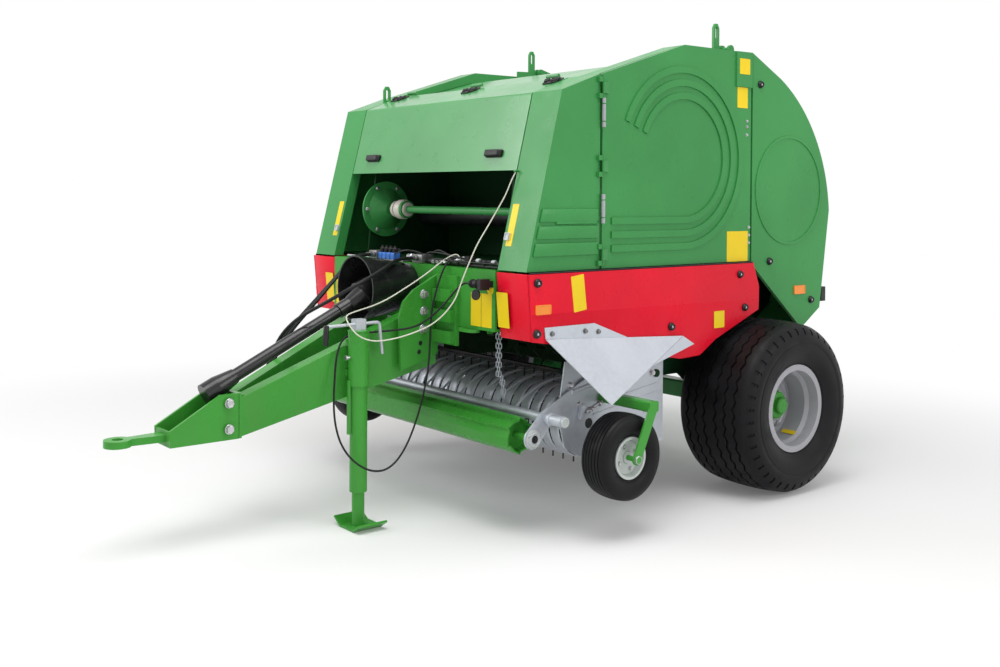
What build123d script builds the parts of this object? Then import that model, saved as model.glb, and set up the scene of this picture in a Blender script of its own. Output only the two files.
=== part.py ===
from build123d import *
import math
import os

# Round baler with a fixed chamber, parked on its jack with the pickup raised.
# Millimetres, +Z up, the drawbar points to -Y, and X is across the machine.
# The origin is on the floor under the middle of the machine. Side outlines are
# lists of (y, z): y behind the axle, z above the floor.

# ---------------------------------------------------------------- driving sizes
EYE_REACH = 3350          # front of the towing eye, ahead of the axle
TAIL_REACH = 632          # rearmost edge of the tailgate, behind the axle
AXLE_Y = (EYE_REACH - TAIL_REACH) / 2
BODY_X = 955              # outer face of the doors and side panels
WALL_X = 620              # inner face of the chamber's side walls
WALL_T = 12
DOOR_T = 20
SHEET_T = 12
GAP = 7                   # running gap between moving panels

WHEEL_R = 467.5           # 500/50-17
WHEEL_X = 970
RIM_R = 216
GAUGE_R = 205             # 16x6.50-8
GAUGE_X = 1130
GAUGE_RIM_R = 102
GAUGE_AT = (-1297, 387)

CHAMBER_AT = (-100, 1570)  # centre of the bale
RIB_AT = (-667, 1815)      # centre of the arcs pressed into the doors
ROLLER_R = 50
ROLLER_RING_R = 640

FLANK_Z = 1262            # lower edge of the green side panels
SPLIT_Y = -110            # between door and tailgate
DOOR_HINGE_Y = -1270
DOOR_PIN_X = 972
DOOR_HINGE_ZS = (1330, 1760, 2140)
ROOF = [(-1530, 2116), (-1285, 2206), (-666, 2403), (SPLIT_Y, 2408)]
RAKE = (ROOF[0][0] + 1746) / (ROOF[0][1] - 1260)
TAILGATE_HINGE = (-150, 2436)
HOOD_HINGE = (-1285, 2222)
HOOD_X = 740
HOOD_LOW_Z = 1737

BEAM_FRONT_Y = -1750      # front cross beam
BEAM_REAR_Y = -1600
BEAM_X = 735
BEAM_LOW_Z = 965
BEAM_TOP_Z = 1257

PICKUP_PIVOT = (-800, 700)
PICKUP_X = 885            # inner face of the pickup's side plates
REEL_AT = (-1280, 500)
TINE_R = 210
BAND_R = 170
GUARD_PIVOT = (-1250, 720)
GUARD_BAR = (-1576, 564)
CROP_ROLLER_AT = (-1662, 476)
CROP_ROLLER_R = 91
CHAIN_AT = (575, -1650)
ROTOR_AT = (-930, 840)
ROTOR_R = 195

JACK_AT = (245, -2200)
PTO_Z = 1140
PTO_JOINT_Y = -1935
PTO_END = (-2840, 705)
EYE_Z = 515
EYE_R = 60
EYE_HOLE_R = 25
NET_AT = (-1480, 1532)
HOSE_Z = 1285             # where the hoses leave the blocks on the beam
# parked couplers: (x, y, top)
COUPLERS = ((-200, -2445, 670), (-242, -2445, 620), (-284, -2445, 620))
SHELF_Z = 575
PLUG_AT = (600, -1800, 1192)

os.makedirs("parts", exist_ok=True)

# Local x of SIDE is y behind the axle, local y is height, and it faces +X.
SIDE = Plane(origin=(0, AXLE_Y, 0), x_dir=(0, 1, 0), z_dir=(1, 0, 0))
# Local x of FRONT is X, local y is height, and it faces forward.
FRONT = Plane(origin=(0, AXLE_Y, 0), x_dir=(1, 0, 0), z_dir=(0, -1, 0))
# Local x of DECK is X, local y is y behind the axle, and it faces up.
DECK = Plane(origin=(0, AXLE_Y, 0))


def save(piece, name):
    """Name a finished piece and write it."""
    piece.label = name
    export_step(piece, f"parts/{name}.step")


def side_face(outline, x):
    """A flat face through a side outline, at x across the machine."""
    with BuildSketch(SIDE.offset(x)) as face:
        with BuildLine():
            Polyline(*outline, close=True)
        make_face()
    return face.sketch


def front_face(outline, y):
    """A flat face through (x, z) points, at y behind the axle."""
    with BuildSketch(FRONT.offset(-y)) as face:
        with BuildLine():
            Polyline(*outline, close=True)
        make_face()
    return face.sketch


def deck_face(outline, z):
    """A flat face through (x, y) points, at height z."""
    with BuildSketch(DECK.offset(z)) as face:
        with BuildLine():
            Polyline(*outline, close=True)
        make_face()
    return face.sketch


def disc_face(at, radius, x):
    """A round face about (y, z), at x across the machine."""
    with BuildSketch(SIDE.offset(x)) as face:
        with Locations(at):
            Circle(radius)
    return face.sketch


def front_disc(at, radius, y):
    """A round face about (x, z), at y behind the axle."""
    with BuildSketch(FRONT.offset(-y)) as face:
        with Locations(at):
            Circle(radius)
    return face.sketch


def link_face(ends, radii, x):
    """The outline of a link: two discs and the straight sides that touch both."""
    with BuildSketch(SIDE.offset(x)) as face:
        for end, radius in zip(ends, radii):
            with Locations(end):
                Circle(radius)
        make_hull()
    return face.sketch


def front_y(z):
    """y of the raked front at height z."""
    return -1746 + (z - 1260) * RAKE


def polar(centre, radius, degrees):
    """A point in a side outline, at an angle from the rear horizontal."""
    turn = math.radians(degrees)
    return (centre[0] + radius * math.cos(turn), centre[1] + radius * math.sin(turn))


def at_axle(x, y, z):
    """The model's own position of a point measured from the axle."""
    return (x, y + AXLE_Y, z)


# ---------------------------------------------------------------- frame
WALL_OUTLINE = [
    (front_y(1262) + 150, 1000),
    (front_y(1262) + 150, 1262),
    (front_y(2060) + 40, 2060),
    (-1270, 2150),
    (-700, 2310),
    (SPLIT_Y - 15, 2325),
    (SPLIT_Y - 15, 880),
    (100, 700),
    (100, 518),
    (-200, 518),
    (-330, 620),
    (-1010, 620),
    (-1130, 950),
]
with BuildPart() as side_walls:
    extrude(side_face(WALL_OUTLINE, WALL_X), amount=WALL_T)
    # stub shaft that the pickup swings on
    extrude(disc_face(PICKUP_PIVOT, 55, WALL_X + WALL_T), amount=PICKUP_X - WALL_X - WALL_T - 6)
    extrude(disc_face(PICKUP_PIVOT, 20, PICKUP_X - 6), amount=24)
    mirror(about=Plane.YZ)
save(side_walls.part, "side_walls")

with BuildPart() as front_beam:
    with BuildSketch(SIDE.offset(-BEAM_X)):
        with Locations(((BEAM_FRONT_Y + BEAM_REAR_Y) / 2, (BEAM_LOW_Z + BEAM_TOP_Z) / 2)):
            Rectangle(BEAM_REAR_Y - BEAM_FRONT_Y, BEAM_TOP_Z - BEAM_LOW_Z)
            Rectangle(
                BEAM_REAR_Y - BEAM_FRONT_Y - 24,
                BEAM_TOP_Z - BEAM_LOW_Z - 24,
                mode=Mode.SUBTRACT,
            )
    extrude(amount=2 * BEAM_X)
    # ribbed pads that the drawbar bolts to
    for low in (880, 985, 1085):
        extrude(front_face([(285, low), (440, low), (440, low + 60), (285, low + 60)], BEAM_FRONT_Y), amount=45)
    extrude(front_face([(285, 870), (455, 870), (455, 1215), (285, 1215)], BEAM_FRONT_Y), amount=16)
    # oval lashing ring under the front edge
    with BuildSketch(DECK.offset(950)):
        with Locations((545, BEAM_FRONT_Y - 5)):
            SlotOverall(130, 70)
            SlotOverall(90, 36, mode=Mode.SUBTRACT)
    extrude(amount=15)
    # lug that the windguard's chain hangs from
    with BuildSketch(SIDE.offset(CHAIN_AT[0] - 3)):
        with Locations((CHAIN_AT[1], BEAM_LOW_Z - 14)):
            RectangleRounded(34, 36, 8)
            Circle(7, mode=Mode.SUBTRACT)
    extrude(amount=6)
    mirror(about=Plane.YZ)
save(front_beam.part, "front_beam")

CHAIN_PITCH = 23.6
with BuildPart() as guard_chains:
    for n in range(11):
        z = BEAM_LOW_Z - 14 - CHAIN_PITCH * (n + 0.5)
        if n % 2:
            flat = Plane(at_axle(CHAIN_AT[0] - 2.5, CHAIN_AT[1], z), x_dir=(0, 0, 1), z_dir=(1, 0, 0))
        else:
            flat = Plane(at_axle(CHAIN_AT[0], CHAIN_AT[1] - 2.5, z), x_dir=(0, 0, 1), z_dir=(0, 1, 0))
        with BuildSketch(flat):
            SlotOverall(34, 20)
            SlotOverall(24, 10, mode=Mode.SUBTRACT)
        extrude(amount=5)
    mirror(about=Plane.YZ)
save(guard_chains.part, "guard_chains")

with BuildPart() as axle:
    with BuildSketch(SIDE.offset(-700)):
        with Locations((0, WHEEL_R)):
            RectangleRounded(100, 100, 12)
    extrude(amount=1400)
    for x in (700, -700):
        extrude(disc_face((0, WHEEL_R), 70, x), amount=math.copysign(12, x))
        extrude(disc_face((0, WHEEL_R), 34, x), amount=math.copysign(350, x))
save(axle.part, "axle")

with BuildPart() as cross_tubes:
    for centre, width, height in (((-160, 2302), 50, 50), ((-600, 660), 70, 70), ((-1110, 2080), 50, 80)):
        with BuildSketch(SIDE.offset(-WALL_X)):
            with Locations(centre):
                RectangleRounded(width, height, 8)
        extrude(amount=2 * WALL_X)
save(cross_tubes.part, "cross_tubes")

NET_BACK_Y = -1010
with BuildPart() as net_box:
    extrude(side_face([(-1595, 1258), (NET_BACK_Y, 1258), (NET_BACK_Y, 1268), (-1595, 1268)], -WALL_X + 1), amount=2 * WALL_X - 2)
    back = [(NET_BACK_Y, 1268.5), (NET_BACK_Y + 10, 1268.5), (NET_BACK_Y + 10, 2030), (NET_BACK_Y, 2030)]
    extrude(side_face(back, -WALL_X + 1), amount=2 * WALL_X - 2)
    # ledges that close the gap between wall and side panel
    extrude(side_face([(-1595, 1262), (-1290, 1262), (-1290, 1272), (-1595, 1272)], WALL_X + WALL_T + 1), amount=290)
    extrude(side_face([(-1595, 1262), (-1290, 1262), (-1290, 1272), (-1595, 1272)], -WALL_X - WALL_T - 1), amount=-290)
save(net_box.part, "net_box")

# ---------------------------------------------------------------- fixed panels
with BuildPart() as roof:
    extrude(
        side_face(
            [(-1275, 2160), (-700, 2322), (SPLIT_Y - 20, 2337), (SPLIT_Y - 20, 2349), (-700, 2334), (-1275, 2172)],
            -800,
        ),
        amount=1600,
    )
save(roof.part, "roof")

with BuildPart() as side_roofs:
    top = [(-1276, 2208), ROOF[2], (SPLIT_Y - 20, 2408)]
    under = [(y, z - SHEET_T) for y, z in reversed(top)]
    extrude(side_face(top + under, 803), amount=BODY_X - DOOR_T - 6 - 803)
    drop = [(SPLIT_Y - 20, 2344), (-700, 2336), (-1276, 2174)]
    extrude(side_face(top + drop, 803), amount=10)
    mirror(about=Plane.YZ)
save(side_roofs.part, "side_roofs")

FLANGE_X = HOOD_X + GAP
with BuildPart() as front_panels:
    flank = [(front_y(FLANK_Z), FLANK_Z), ROOF[0], ROOF[1], (DOOR_HINGE_Y - 8, 2209), (DOOR_HINGE_Y - 8, FLANK_Z)]
    extrude(side_face(flank, BODY_X - DOOR_T), amount=DOOR_T)
    front = [
        (front_y(FLANK_Z), FLANK_Z),
        ROOF[0],
        ROOF[1],
        (ROOF[1][0], ROOF[1][1] - 14),
        (ROOF[0][0] + 16, ROOF[0][1] - 12),
        (front_y(FLANK_Z) + 18, FLANK_Z),
    ]
    extrude(side_face(front, FLANGE_X), amount=BODY_X - FLANGE_X)
    # returned inner edge of the flange
    lip = [
        (front_y(FLANK_Z), FLANK_Z),
        (front_y(2100), 2100),
        (front_y(2100) + 60, 2100),
        (front_y(FLANK_Z) + 60, FLANK_Z),
    ]
    extrude(side_face(lip, FLANGE_X), amount=10)
    # three pressed ribs that run on from the door's
    for low in (1342, 1410, 1478):
        rib = [(-1570, low), (-1300, low), (-1300, low + 34), (-1570, low + 34)]
        extrude(side_face(rib, BODY_X), amount=9, taper=25)
    mirror(about=Plane.YZ)
    # hinge pins of the side doors
    for z in DOOR_HINGE_ZS:
        for x in (DOOR_PIN_X, -DOOR_PIN_X):
            with BuildSketch(DECK.offset(z - 52)):
                with Locations((x, DOOR_HINGE_Y)):
                    Circle(4)
            extrude(amount=104)
            inner = math.copysign(BODY_X, x)
            for low in (z - 52, z + 28):
                extrude(deck_face([(inner, -1300), (x, -1300), (x, DOOR_HINGE_Y - 2), (inner, DOOR_HINGE_Y - 8)], low), amount=24)
    # peg that the net rope hangs from
    extrude(front_disc((756, 1732), 5, front_y(1732) + 2), amount=28)
save(front_panels.part, "front_panels")

SKIRT_X = 980
SKIRT = [
    (-1750, 1252),
    (-1722, 940),
    (-1250, 868),
    (-685, 772),
    (-552, 777),
    (-422, 855),
    (-62, 993),
    (-62, 1133),
    (SPLIT_Y, 1243),
    (SPLIT_Y, 1252),
]
with BuildPart() as skirts:
    extrude(side_face(SKIRT, SKIRT_X - 14), amount=14)
    front = [(-1750, 1252), (-1722, 940), (-1708, 940), (-1736, 1252)]
    extrude(side_face(front, BEAM_X + 8), amount=SKIRT_X - BEAM_X - 8)
    mirror(about=Plane.YZ)
save(skirts.part, "skirts")

# Galvanised shields over the gauge wheels: a bolted flange, a plate that slopes out
# to a point, and an ear folded back at the rear.
SHIELD_FLANGE = [(-1657, 1004), (-1335, 1004), (-1078, 908), (-1650, 952)]
SHIELD_FRONT = at_axle(984, -1650, 948)
SHIELD_REAR = at_axle(984, -700, 893)
SHIELD_POINT = at_axle(1165, -1400, 642)
SHIELD_EAR = at_axle(984, -612, 845)
SHIELD_EAR_LOW = at_axle(1065, -1015, 780)
with BuildPart() as shields:
    extrude(side_face(SHIELD_FLANGE, SKIRT_X), amount=5)
    for corners in (
        (SHIELD_FRONT, SHIELD_POINT, SHIELD_REAR),
        (SHIELD_REAR, SHIELD_EAR_LOW, SHIELD_EAR),
    ):
        extrude(Face(Wire.make_polygon([Vector(*corner) for corner in corners])), amount=5)
    mirror(about=Plane.YZ)
save(shields.part, "shields")


def eye_plate(y, base_front, base_rear, top, x):
    """An upright plate with a slotted lifting eye; its foot follows a slope."""
    with BuildSketch(SIDE.offset(x)) as plate:
        with BuildLine():
            Polyline(
                (y - 24, base_front), (y - 24, top - 24), (y - 10, top), (y + 10, top),
                (y + 24, top - 24), (y + 24, base_rear), close=True,
            )
        make_face()
        with Locations((y, top - 52)):
            SlotOverall(66, 20, rotation=90, mode=Mode.SUBTRACT)
    return plate.sketch


TAILGATE_PIN_R = 14
with BuildPart() as lifting_eyes:
    slope = (ROOF[1][1] - ROOF[0][1]) / (ROOF[1][0] - ROOF[0][0])
    foot = ROOF[0][1] + slope * (-1384 - ROOF[0][0])
    extrude(eye_plate(-1360, foot, foot + 48 * slope, 2268, -778), amount=-14)
save(lifting_eyes.part, "lifting_eyes")

with BuildPart() as hinge_brackets:
    extrude(eye_plate(-207, 2348, 2348, 2579, 772), amount=14)
    bracket = [(-330, 2345), (SPLIT_Y - 22, 2349), (-122, 2440), (-140, 2462), (-165, 2462), (-185, 2442), (-330, 2436)]
    extrude(side_face(bracket, 772), amount=14)
    extrude(disc_face(TAILGATE_HINGE, TAILGATE_PIN_R, 735), amount=95)
    extrude(disc_face(TAILGATE_HINGE, 24, 830), amount=14)
    mirror(about=Plane.YZ)
save(hinge_brackets.part, "hinge_brackets")

# ---------------------------------------------------------------- chamber rollers
def rollers(angles):
    """Chamber rollers at these angles about the bale's centre."""
    for angle in angles:
        with BuildSketch(SIDE.offset(-WALL_X + 3)) as ring:
            with Locations(polar(CHAMBER_AT, ROLLER_RING_R, angle)):
                Circle(ROLLER_R)
                Circle(ROLLER_R - 8, mode=Mode.SUBTRACT)
        extrude(ring.sketch, amount=2 * WALL_X - 6)


with BuildPart() as front_rollers:
    rollers(range(102, 230, 14))
save(front_rollers.part, "front_rollers")

# ---------------------------------------------------------------- drawbar
with BuildPart() as drawbar:
    for side in (1, -1):
        nose = [(side * 12, 488), (side * 92, 488), (side * 92, 668), (side * 12, 668)]
        root = [(side * 180, 760), (side * 262, 760), (side * 262, 1085), (side * 180, 1085)]
        loft([front_face(nose, -2740), front_face(root, BEAM_FRONT_Y - 1)])
        head = [(-1985, 1015), (-1960, 1085), (-1900, 1140), (BEAM_FRONT_Y, 1215), (BEAM_FRONT_Y, 815), (-1800, 795), (-1975, 742)]
        extrude(side_face(head, side * 262), amount=side * 16)
    extrude(front_face([(-92, 480), (92, 480), (92, 690), (-92, 690)], -2740), amount=12)
    extrude(deck_face([(-70, -2742), (70, -2742), (80, -2680), (-80, -2680)], 668), amount=10)
    # shelf on the far beam that the hose couplers stand in
    with BuildSketch(DECK.offset(SHELF_Z)):
        with BuildLine():
            Polyline((-135, -2490), (-320, -2490), (-320, -2400), (-150, -2400), close=True)
        make_face()
        with Locations(*[(x, y) for x, y, top in COUPLERS]):
            Circle(15, mode=Mode.SUBTRACT)
    extrude(amount=6)
save(drawbar.part, "drawbar")

with BuildPart() as hitch:
    cheek = [(-2752, 690), (-2752, 478), (-2860, 478), (-2975, 478), (-3085, 478), (-3088, 552), (-2845, 690)]
    for side in (1, -1):
        extrude(side_face(cheek, side * 74), amount=side * 14)
    extrude(front_face([(-88, 478), (88, 478), (88, 690), (-88, 690)], -2752), amount=12)
    extrude(deck_face([(-88, -2764), (88, -2764), (88, -3085), (-88, -3085)], 478), amount=12)
    for z in (530, 650):
        for side in (1, -1):
            extrude(disc_face((-2806, z), 18, side * 88), amount=side * 12)
save(hitch.part, "hitch")

with BuildPart() as towing_eye:
    with BuildSketch(DECK.offset(EYE_Z - 16)):
        with Locations((0, -EYE_REACH + EYE_R)):
            Circle(EYE_R)
        with BuildLine():
            Polyline((-26, -3250), (26, -3250), (40, -3086), (-40, -3086), close=True)
        make_face()
        with Locations((0, -EYE_REACH + EYE_R)):
            Circle(EYE_HOLE_R, mode=Mode.SUBTRACT)
    extrude(amount=32)
    extrude(front_face([(-73, 491), (73, 491), (73, 548), (-73, 548)], -3074), amount=12)
save(towing_eye.part, "towing_eye")

# ---------------------------------------------------------------- jack
def jack_tube(outer, inner, low, high):
    """A round tube on the jack's axis."""
    with BuildSketch(DECK.offset(low)) as ring:
        with Locations(JACK_AT):
            Circle(outer)
            Circle(inner, mode=Mode.SUBTRACT)
    return ring.sketch, high - low


with BuildPart() as jack_sleeve:
    ring, height = jack_tube(51, 44, 692, 945)
    extrude(ring, amount=height)
    with BuildSketch(DECK.offset(945)):
        with Locations(JACK_AT):
            Circle(51)
    extrude(amount=8)
    # bracket to the drawbar's left beam
    for z in (735, 880):
        bracket = [(179.6, -2235), (200, -2235), (197, -2200), (200, -2165), (191.6, -2165)]
        extrude(deck_face(bracket, z), amount=30)
    # flat guide bar down the front of the leg
    extrude(deck_face([(238, -2262), (252, -2262), (252, -2249), (238, -2249)], 460), amount=260)
save(jack_sleeve.part, "jack_sleeve")

FOOT = [(125, 36), (132, 44), (185, 12), (300, 12), (353, 44), (360, 36), (304, 0), (181, 0)]
with BuildPart() as jack_leg:
    for outer, inner, low, high in ((43, 33, 178, 738), (43, 24, 178, 190), (30.5, 24, 12, 190)):
        ring, height = jack_tube(outer, inner, low, high)
        extrude(ring, amount=height)
    # foot plate with its two sides bent up
    extrude(front_face(FOOT, JACK_AT[1] - 65), amount=-160)
save(jack_leg.part, "jack_leg")

with BuildPart() as jack_crank:
    with BuildSketch(DECK.offset(953)):
        with Locations(JACK_AT):
            RectangleRounded(52, 60, 8)
    extrude(amount=60)
    with BuildLine() as crank_rod:
        FilletPolyline(
            at_axle(JACK_AT[0] + 12, JACK_AT[1] - 187, 956),
            at_axle(JACK_AT[0] + 12, JACK_AT[1] - 183, 988),
            at_axle(JACK_AT[0] + 12, JACK_AT[1] + 110, 992),
            at_axle(JACK_AT[0] + 12, JACK_AT[1] + 128, 835),
            radius=18,
        )
    with BuildSketch(Plane(crank_rod.line @ 0, z_dir=crank_rod.line % 0)):
        Circle(8)
    sweep(path=crank_rod.line)
save(jack_crank.part, "jack_crank")

# ---------------------------------------------------------------- driveline
with BuildPart() as gearbox:
    with BuildSketch(FRONT.offset(-BEAM_FRONT_Y)):
        with Locations((0, PTO_Z)):
            Circle(95)
    extrude(amount=40)
    with BuildSketch(FRONT.offset(-BEAM_FRONT_Y + 40)):
        with Locations((0, PTO_Z)):
            Circle(20)
    extrude(amount=90)
save(gearbox.part, "gearbox")

with BuildPart() as pto_bell:
    with BuildSketch(FRONT.offset(-BEAM_FRONT_Y)) as base:
        with Locations((0, PTO_Z)):
            Circle(115)
    with BuildSketch(FRONT.offset(-BEAM_FRONT_Y + 320)) as rim:
        with Locations((0, PTO_Z - 5)):
            Circle(172)
    loft([base.sketch, rim.sketch])
    with BuildSketch(FRONT.offset(-BEAM_FRONT_Y)) as inner_base:
        with Locations((0, PTO_Z)):
            Circle(105)
    with BuildSketch(FRONT.offset(-BEAM_FRONT_Y + 320)) as inner_rim:
        with Locations((0, PTO_Z - 5)):
            Circle(164)
    loft([inner_base.sketch, inner_rim.sketch], mode=Mode.SUBTRACT)
save(pto_bell.part, "pto_bell")

PTO_RUN = math.hypot(PTO_END[0] - PTO_JOINT_Y, PTO_END[1] - PTO_Z)
PTO_AXIS = Plane(
    at_axle(0, PTO_JOINT_Y, PTO_Z),
    x_dir=(1, 0, 0),
    z_dir=(0, PTO_END[0] - PTO_JOINT_Y, PTO_END[1] - PTO_Z),
)
with BuildPart() as pto_shaft:
    with BuildSketch(PTO_AXIS.offset(60)):
        Circle(31)
    extrude(amount=PTO_RUN - 60)
    with BuildSketch(PTO_AXIS.offset(40)) as wide:
        Circle(80)
    with BuildSketch(PTO_AXIS.offset(190)) as narrow:
        Circle(38)
    loft([wide.sketch, narrow.sketch])
    with BuildSketch(PTO_AXIS.offset(PTO_RUN - 120)) as narrow:
        Circle(36)
    with BuildSketch(PTO_AXIS.offset(PTO_RUN - 20)) as wide:
        Circle(52)
    loft([narrow.sketch, wide.sketch])
    with BuildSketch(PTO_AXIS.offset(-25)):
        Circle(38)
    extrude(amount=70)
save(pto_shaft.part, "pto_shaft")

with BuildPart() as valve_block:
    for left, right in ((-400, -70), (15, 105)):
        extrude(deck_face([(left, -1730), (right, -1730), (right, -1650), (left, -1650)], BEAM_TOP_Z), amount=55)
    for n in range(4):
        x = -277 + 58 * n
        with BuildSketch(DECK.offset(BEAM_TOP_Z + 55)):
            with Locations((x, -1680)):
                Rectangle(36, 44)
        extrude(amount=42)
        extrude(front_disc((x, BEAM_TOP_Z + 32), 20, -1730), amount=38)
    # ferrules of the three hoses
    for x in (60, -340, -380):
        extrude(front_disc((x, HOSE_Z), 12, -1730), amount=30)
save(valve_block.part, "valve_block")

# ---------------------------------------------------------------- cords
def cord(points, radius, name):
    """A round cord through points measured from the axle, its corners as round as they allow."""
    spots = [Vector(*at_axle(*point)) for point in points]
    bends = []
    for before, corner, after in zip(spots, spots[1:], spots[2:]):
        half = math.radians((corner - before).get_angle(after - corner)) / 2
        shorter = min((corner - before).length, (after - corner).length)
        bends.append(0.45 * shorter / math.tan(half))
    with BuildPart() as solid:
        with BuildLine() as route:
            FilletPolyline(*spots, radius=bends)
        with BuildSketch(Plane(route.line @ 0, z_dir=route.line % 0)):
            Circle(radius)
        sweep(path=route.line)
    length = sum(edge.length for edge in route.line.edges())
    fill = solid.part.volume / (math.pi * radius**2 * length)
    print(name, "length", round(length), "smallest bend", round(min(bends)), "volume ratio", round(fill, 4))
    save(solid.part, name)


ROPE_R = 3.2
CABLE_R = 5
HOSE_R = 9
CORDS = {
    # name: (radius, points)
    "rope": (ROPE_R, [
        (755, -1644, 1726), (744, -1660, 1690), (726, -1680, 1617), (700, -1722, 1530),
        (678, -1765, 1448), (664, -1805, 1380), (655, -1836, 1310), (640, -1858, 1245),
        (622, -1872, 1185), (608, -1884, 1130), (580, -1900, 1080), (545, -1925, 1032),
        (500, -1955, 990), (455, -1992, 962), (415, -2040, 938), (380, -2095, 921),
        (352, -2160, 912), (332, -2215, 922), (308, -2256, 950), (282, -2277, 990),
        (256, -2277, 1018), (222, -2257, 1031), (200, -2212, 1040), (206, -2155, 1054),
        (232, -2094, 1074), (262, -2030, 1108), (290, -1968, 1150), (310, -1904, 1190),
        (324, -1840, 1232), (334, -1788, 1270), (347, -1748, 1297), (362, -1716, 1316),
        (377, -1697, 1316), (384, -1690, 1296),
    ]),
    "electric_cable": (CABLE_R, [
        (600, -1800, 1192), (560, -1800, 1192), (520, -1812, 1162), (478, -1832, 1108),
        (436, -1856, 1055), (394, -1890, 1008), (360, -1928, 974), (326, -1966, 958),
        (284, -2012, 949), (232, -2074, 941), (210, -2122, 938), (184, -2163, 933),
        (168, -2206, 927), (172, -2248, 908), (192, -2284, 868), (205, -2304, 812),
        (214, -2315, 740), (224, -2326, 660), (238, -2334, 580), (256, -2334, 505),
        (280, -2322, 430), (304, -2288, 365), (326, -2240, 318), (342, -2185, 290),
        (350, -2125, 284), (350, -2072, 302), (346, -2022, 340), (342, -1978, 395),
        (340, -1940, 465), (340, -1908, 545), (342, -1882, 630), (344, -1862, 720),
        (342, -1848, 810), (336, -1840, 895), (330, -1834, 975), (330, -1824, 1050),
        (338, -1812, 1120), (348, -1796, 1185), (359, -1780, 1240), (372, -1760, 1283),
        (392, -1733, 1302), (418, -1710, 1302), (446, -1697, 1297),
    ]),
    "hose_1": (HOSE_R, [
        (60, -1760, 1285), (60, -1815, 1285), (82, -1880, 1276), (130, -1950, 1259),
        (178, -2030, 1236), (208, -2115, 1208), (214, -2195, 1175), (190, -2262, 1136),
        (142, -2312, 1096), (78, -2348, 1058), (8, -2376, 1020), (-60, -2396, 976),
        (-116, -2416, 924), (-158, -2432, 864), (-186, -2441, 796), (-200, -2445, 728),
        (-200, -2445, 670),
    ]),
    "hose_2": (HOSE_R, [
        (-340, -1760, 1285), (-340, -1812, 1285), (-334, -1872, 1264), (-318, -1934, 1222),
        (-298, -1998, 1172), (-278, -2066, 1118), (-264, -2134, 1060), (-254, -2204, 1000),
        (-248, -2272, 938), (-245, -2332, 872), (-243, -2382, 800), (-242, -2420, 732),
        (-242, -2445, 670), (-242, -2445, 620),
    ]),
    "hose_3": (HOSE_R, [
        (-380, -1760, 1285), (-380, -1806, 1285), (-374, -1862, 1260), (-360, -1920, 1214),
        (-342, -1984, 1164), (-324, -2054, 1110), (-310, -2126, 1052), (-300, -2198, 992),
        (-292, -2270, 930), (-288, -2332, 864), (-286, -2384, 792), (-284, -2422, 724),
        (-284, -2445, 664), (-284, -2445, 620),
    ]),
}
for name, (radius, points) in CORDS.items():
    cord(points, radius, name)

with BuildPart() as hose_couplers:
    for x, y, top in COUPLERS:
        for radius, low, high in ((17, SHELF_Z + 6, top), (14, SHELF_Z - 40, SHELF_Z + 6)):
            with BuildSketch(DECK.offset(low)):
                with Locations((x, y)):
                    Circle(radius)
            extrude(amount=high - low)
save(hose_couplers.part, "hose_couplers")

with BuildPart() as electric_plug:
    for radius, left, length in ((11, 0, 22), (20, 22, 48), (24, 70, 26)):
        extrude(disc_face(PLUG_AT[1:], radius, PLUG_AT[0] + left), amount=length)
    # dummy socket that the plug is parked in, on a bracket
    extrude(side_face([(-1828, 1166), (-1772, 1166), (-1772, 1218), (-1828, 1218)], PLUG_AT[0] + 96), amount=24)
    extrude(side_face([(-1772, 1176), (BEAM_FRONT_Y, 1176), (BEAM_FRONT_Y, 1208), (-1772, 1208)], PLUG_AT[0] + 96), amount=24)
save(electric_plug.part, "electric_plug")

with BuildPart() as wiring_loom:
    extrude(disc_face((-1690, BEAM_TOP_Z + 14), 14, 105), amount=365)
    extrude(disc_face((-1690, BEAM_TOP_Z + 9), 9, 470), amount=260)
    # tie that the rope ends in, and the cable's connector
    extrude(disc_face((-1690, BEAM_TOP_Z + 19), 18, 378), amount=12)
    extrude(side_face([(-1712, 1280), (-1672, 1280), (-1672, 1312), (-1712, 1312)], 446), amount=36)
save(wiring_loom.part, "wiring_loom")

# ---------------------------------------------------------------- net holder
with BuildPart() as net_spindle:
    extrude(disc_face(NET_AT, 160, -WALL_X + 8), amount=10)
    with BuildSketch(SIDE.offset(-WALL_X + 18)) as wide:
        with Locations(NET_AT):
            Circle(120)
    with BuildSketch(SIDE.offset(-WALL_X + 75)) as narrow:
        with Locations(NET_AT):
            Circle(40)
    loft([wide.sketch, narrow.sketch])
    extrude(disc_face(NET_AT, 20.5, -WALL_X + 75), amount=2 * WALL_X - 85)
    extrude(disc_face(NET_AT, 38, -WALL_X + 130), amount=45)
    extrude(disc_face(NET_AT, 50, -WALL_X + 195), amount=40)
    extrude(disc_face(NET_AT, 20.5, -WALL_X + 8), amount=-6)
save(net_spindle.part, "net_spindle")

with BuildPart() as net_roller:
    extrude(disc_face((-1200, 1500), 55, -WALL_X + 4), amount=2 * WALL_X - 8)
save(net_roller.part, "net_roller")

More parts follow.
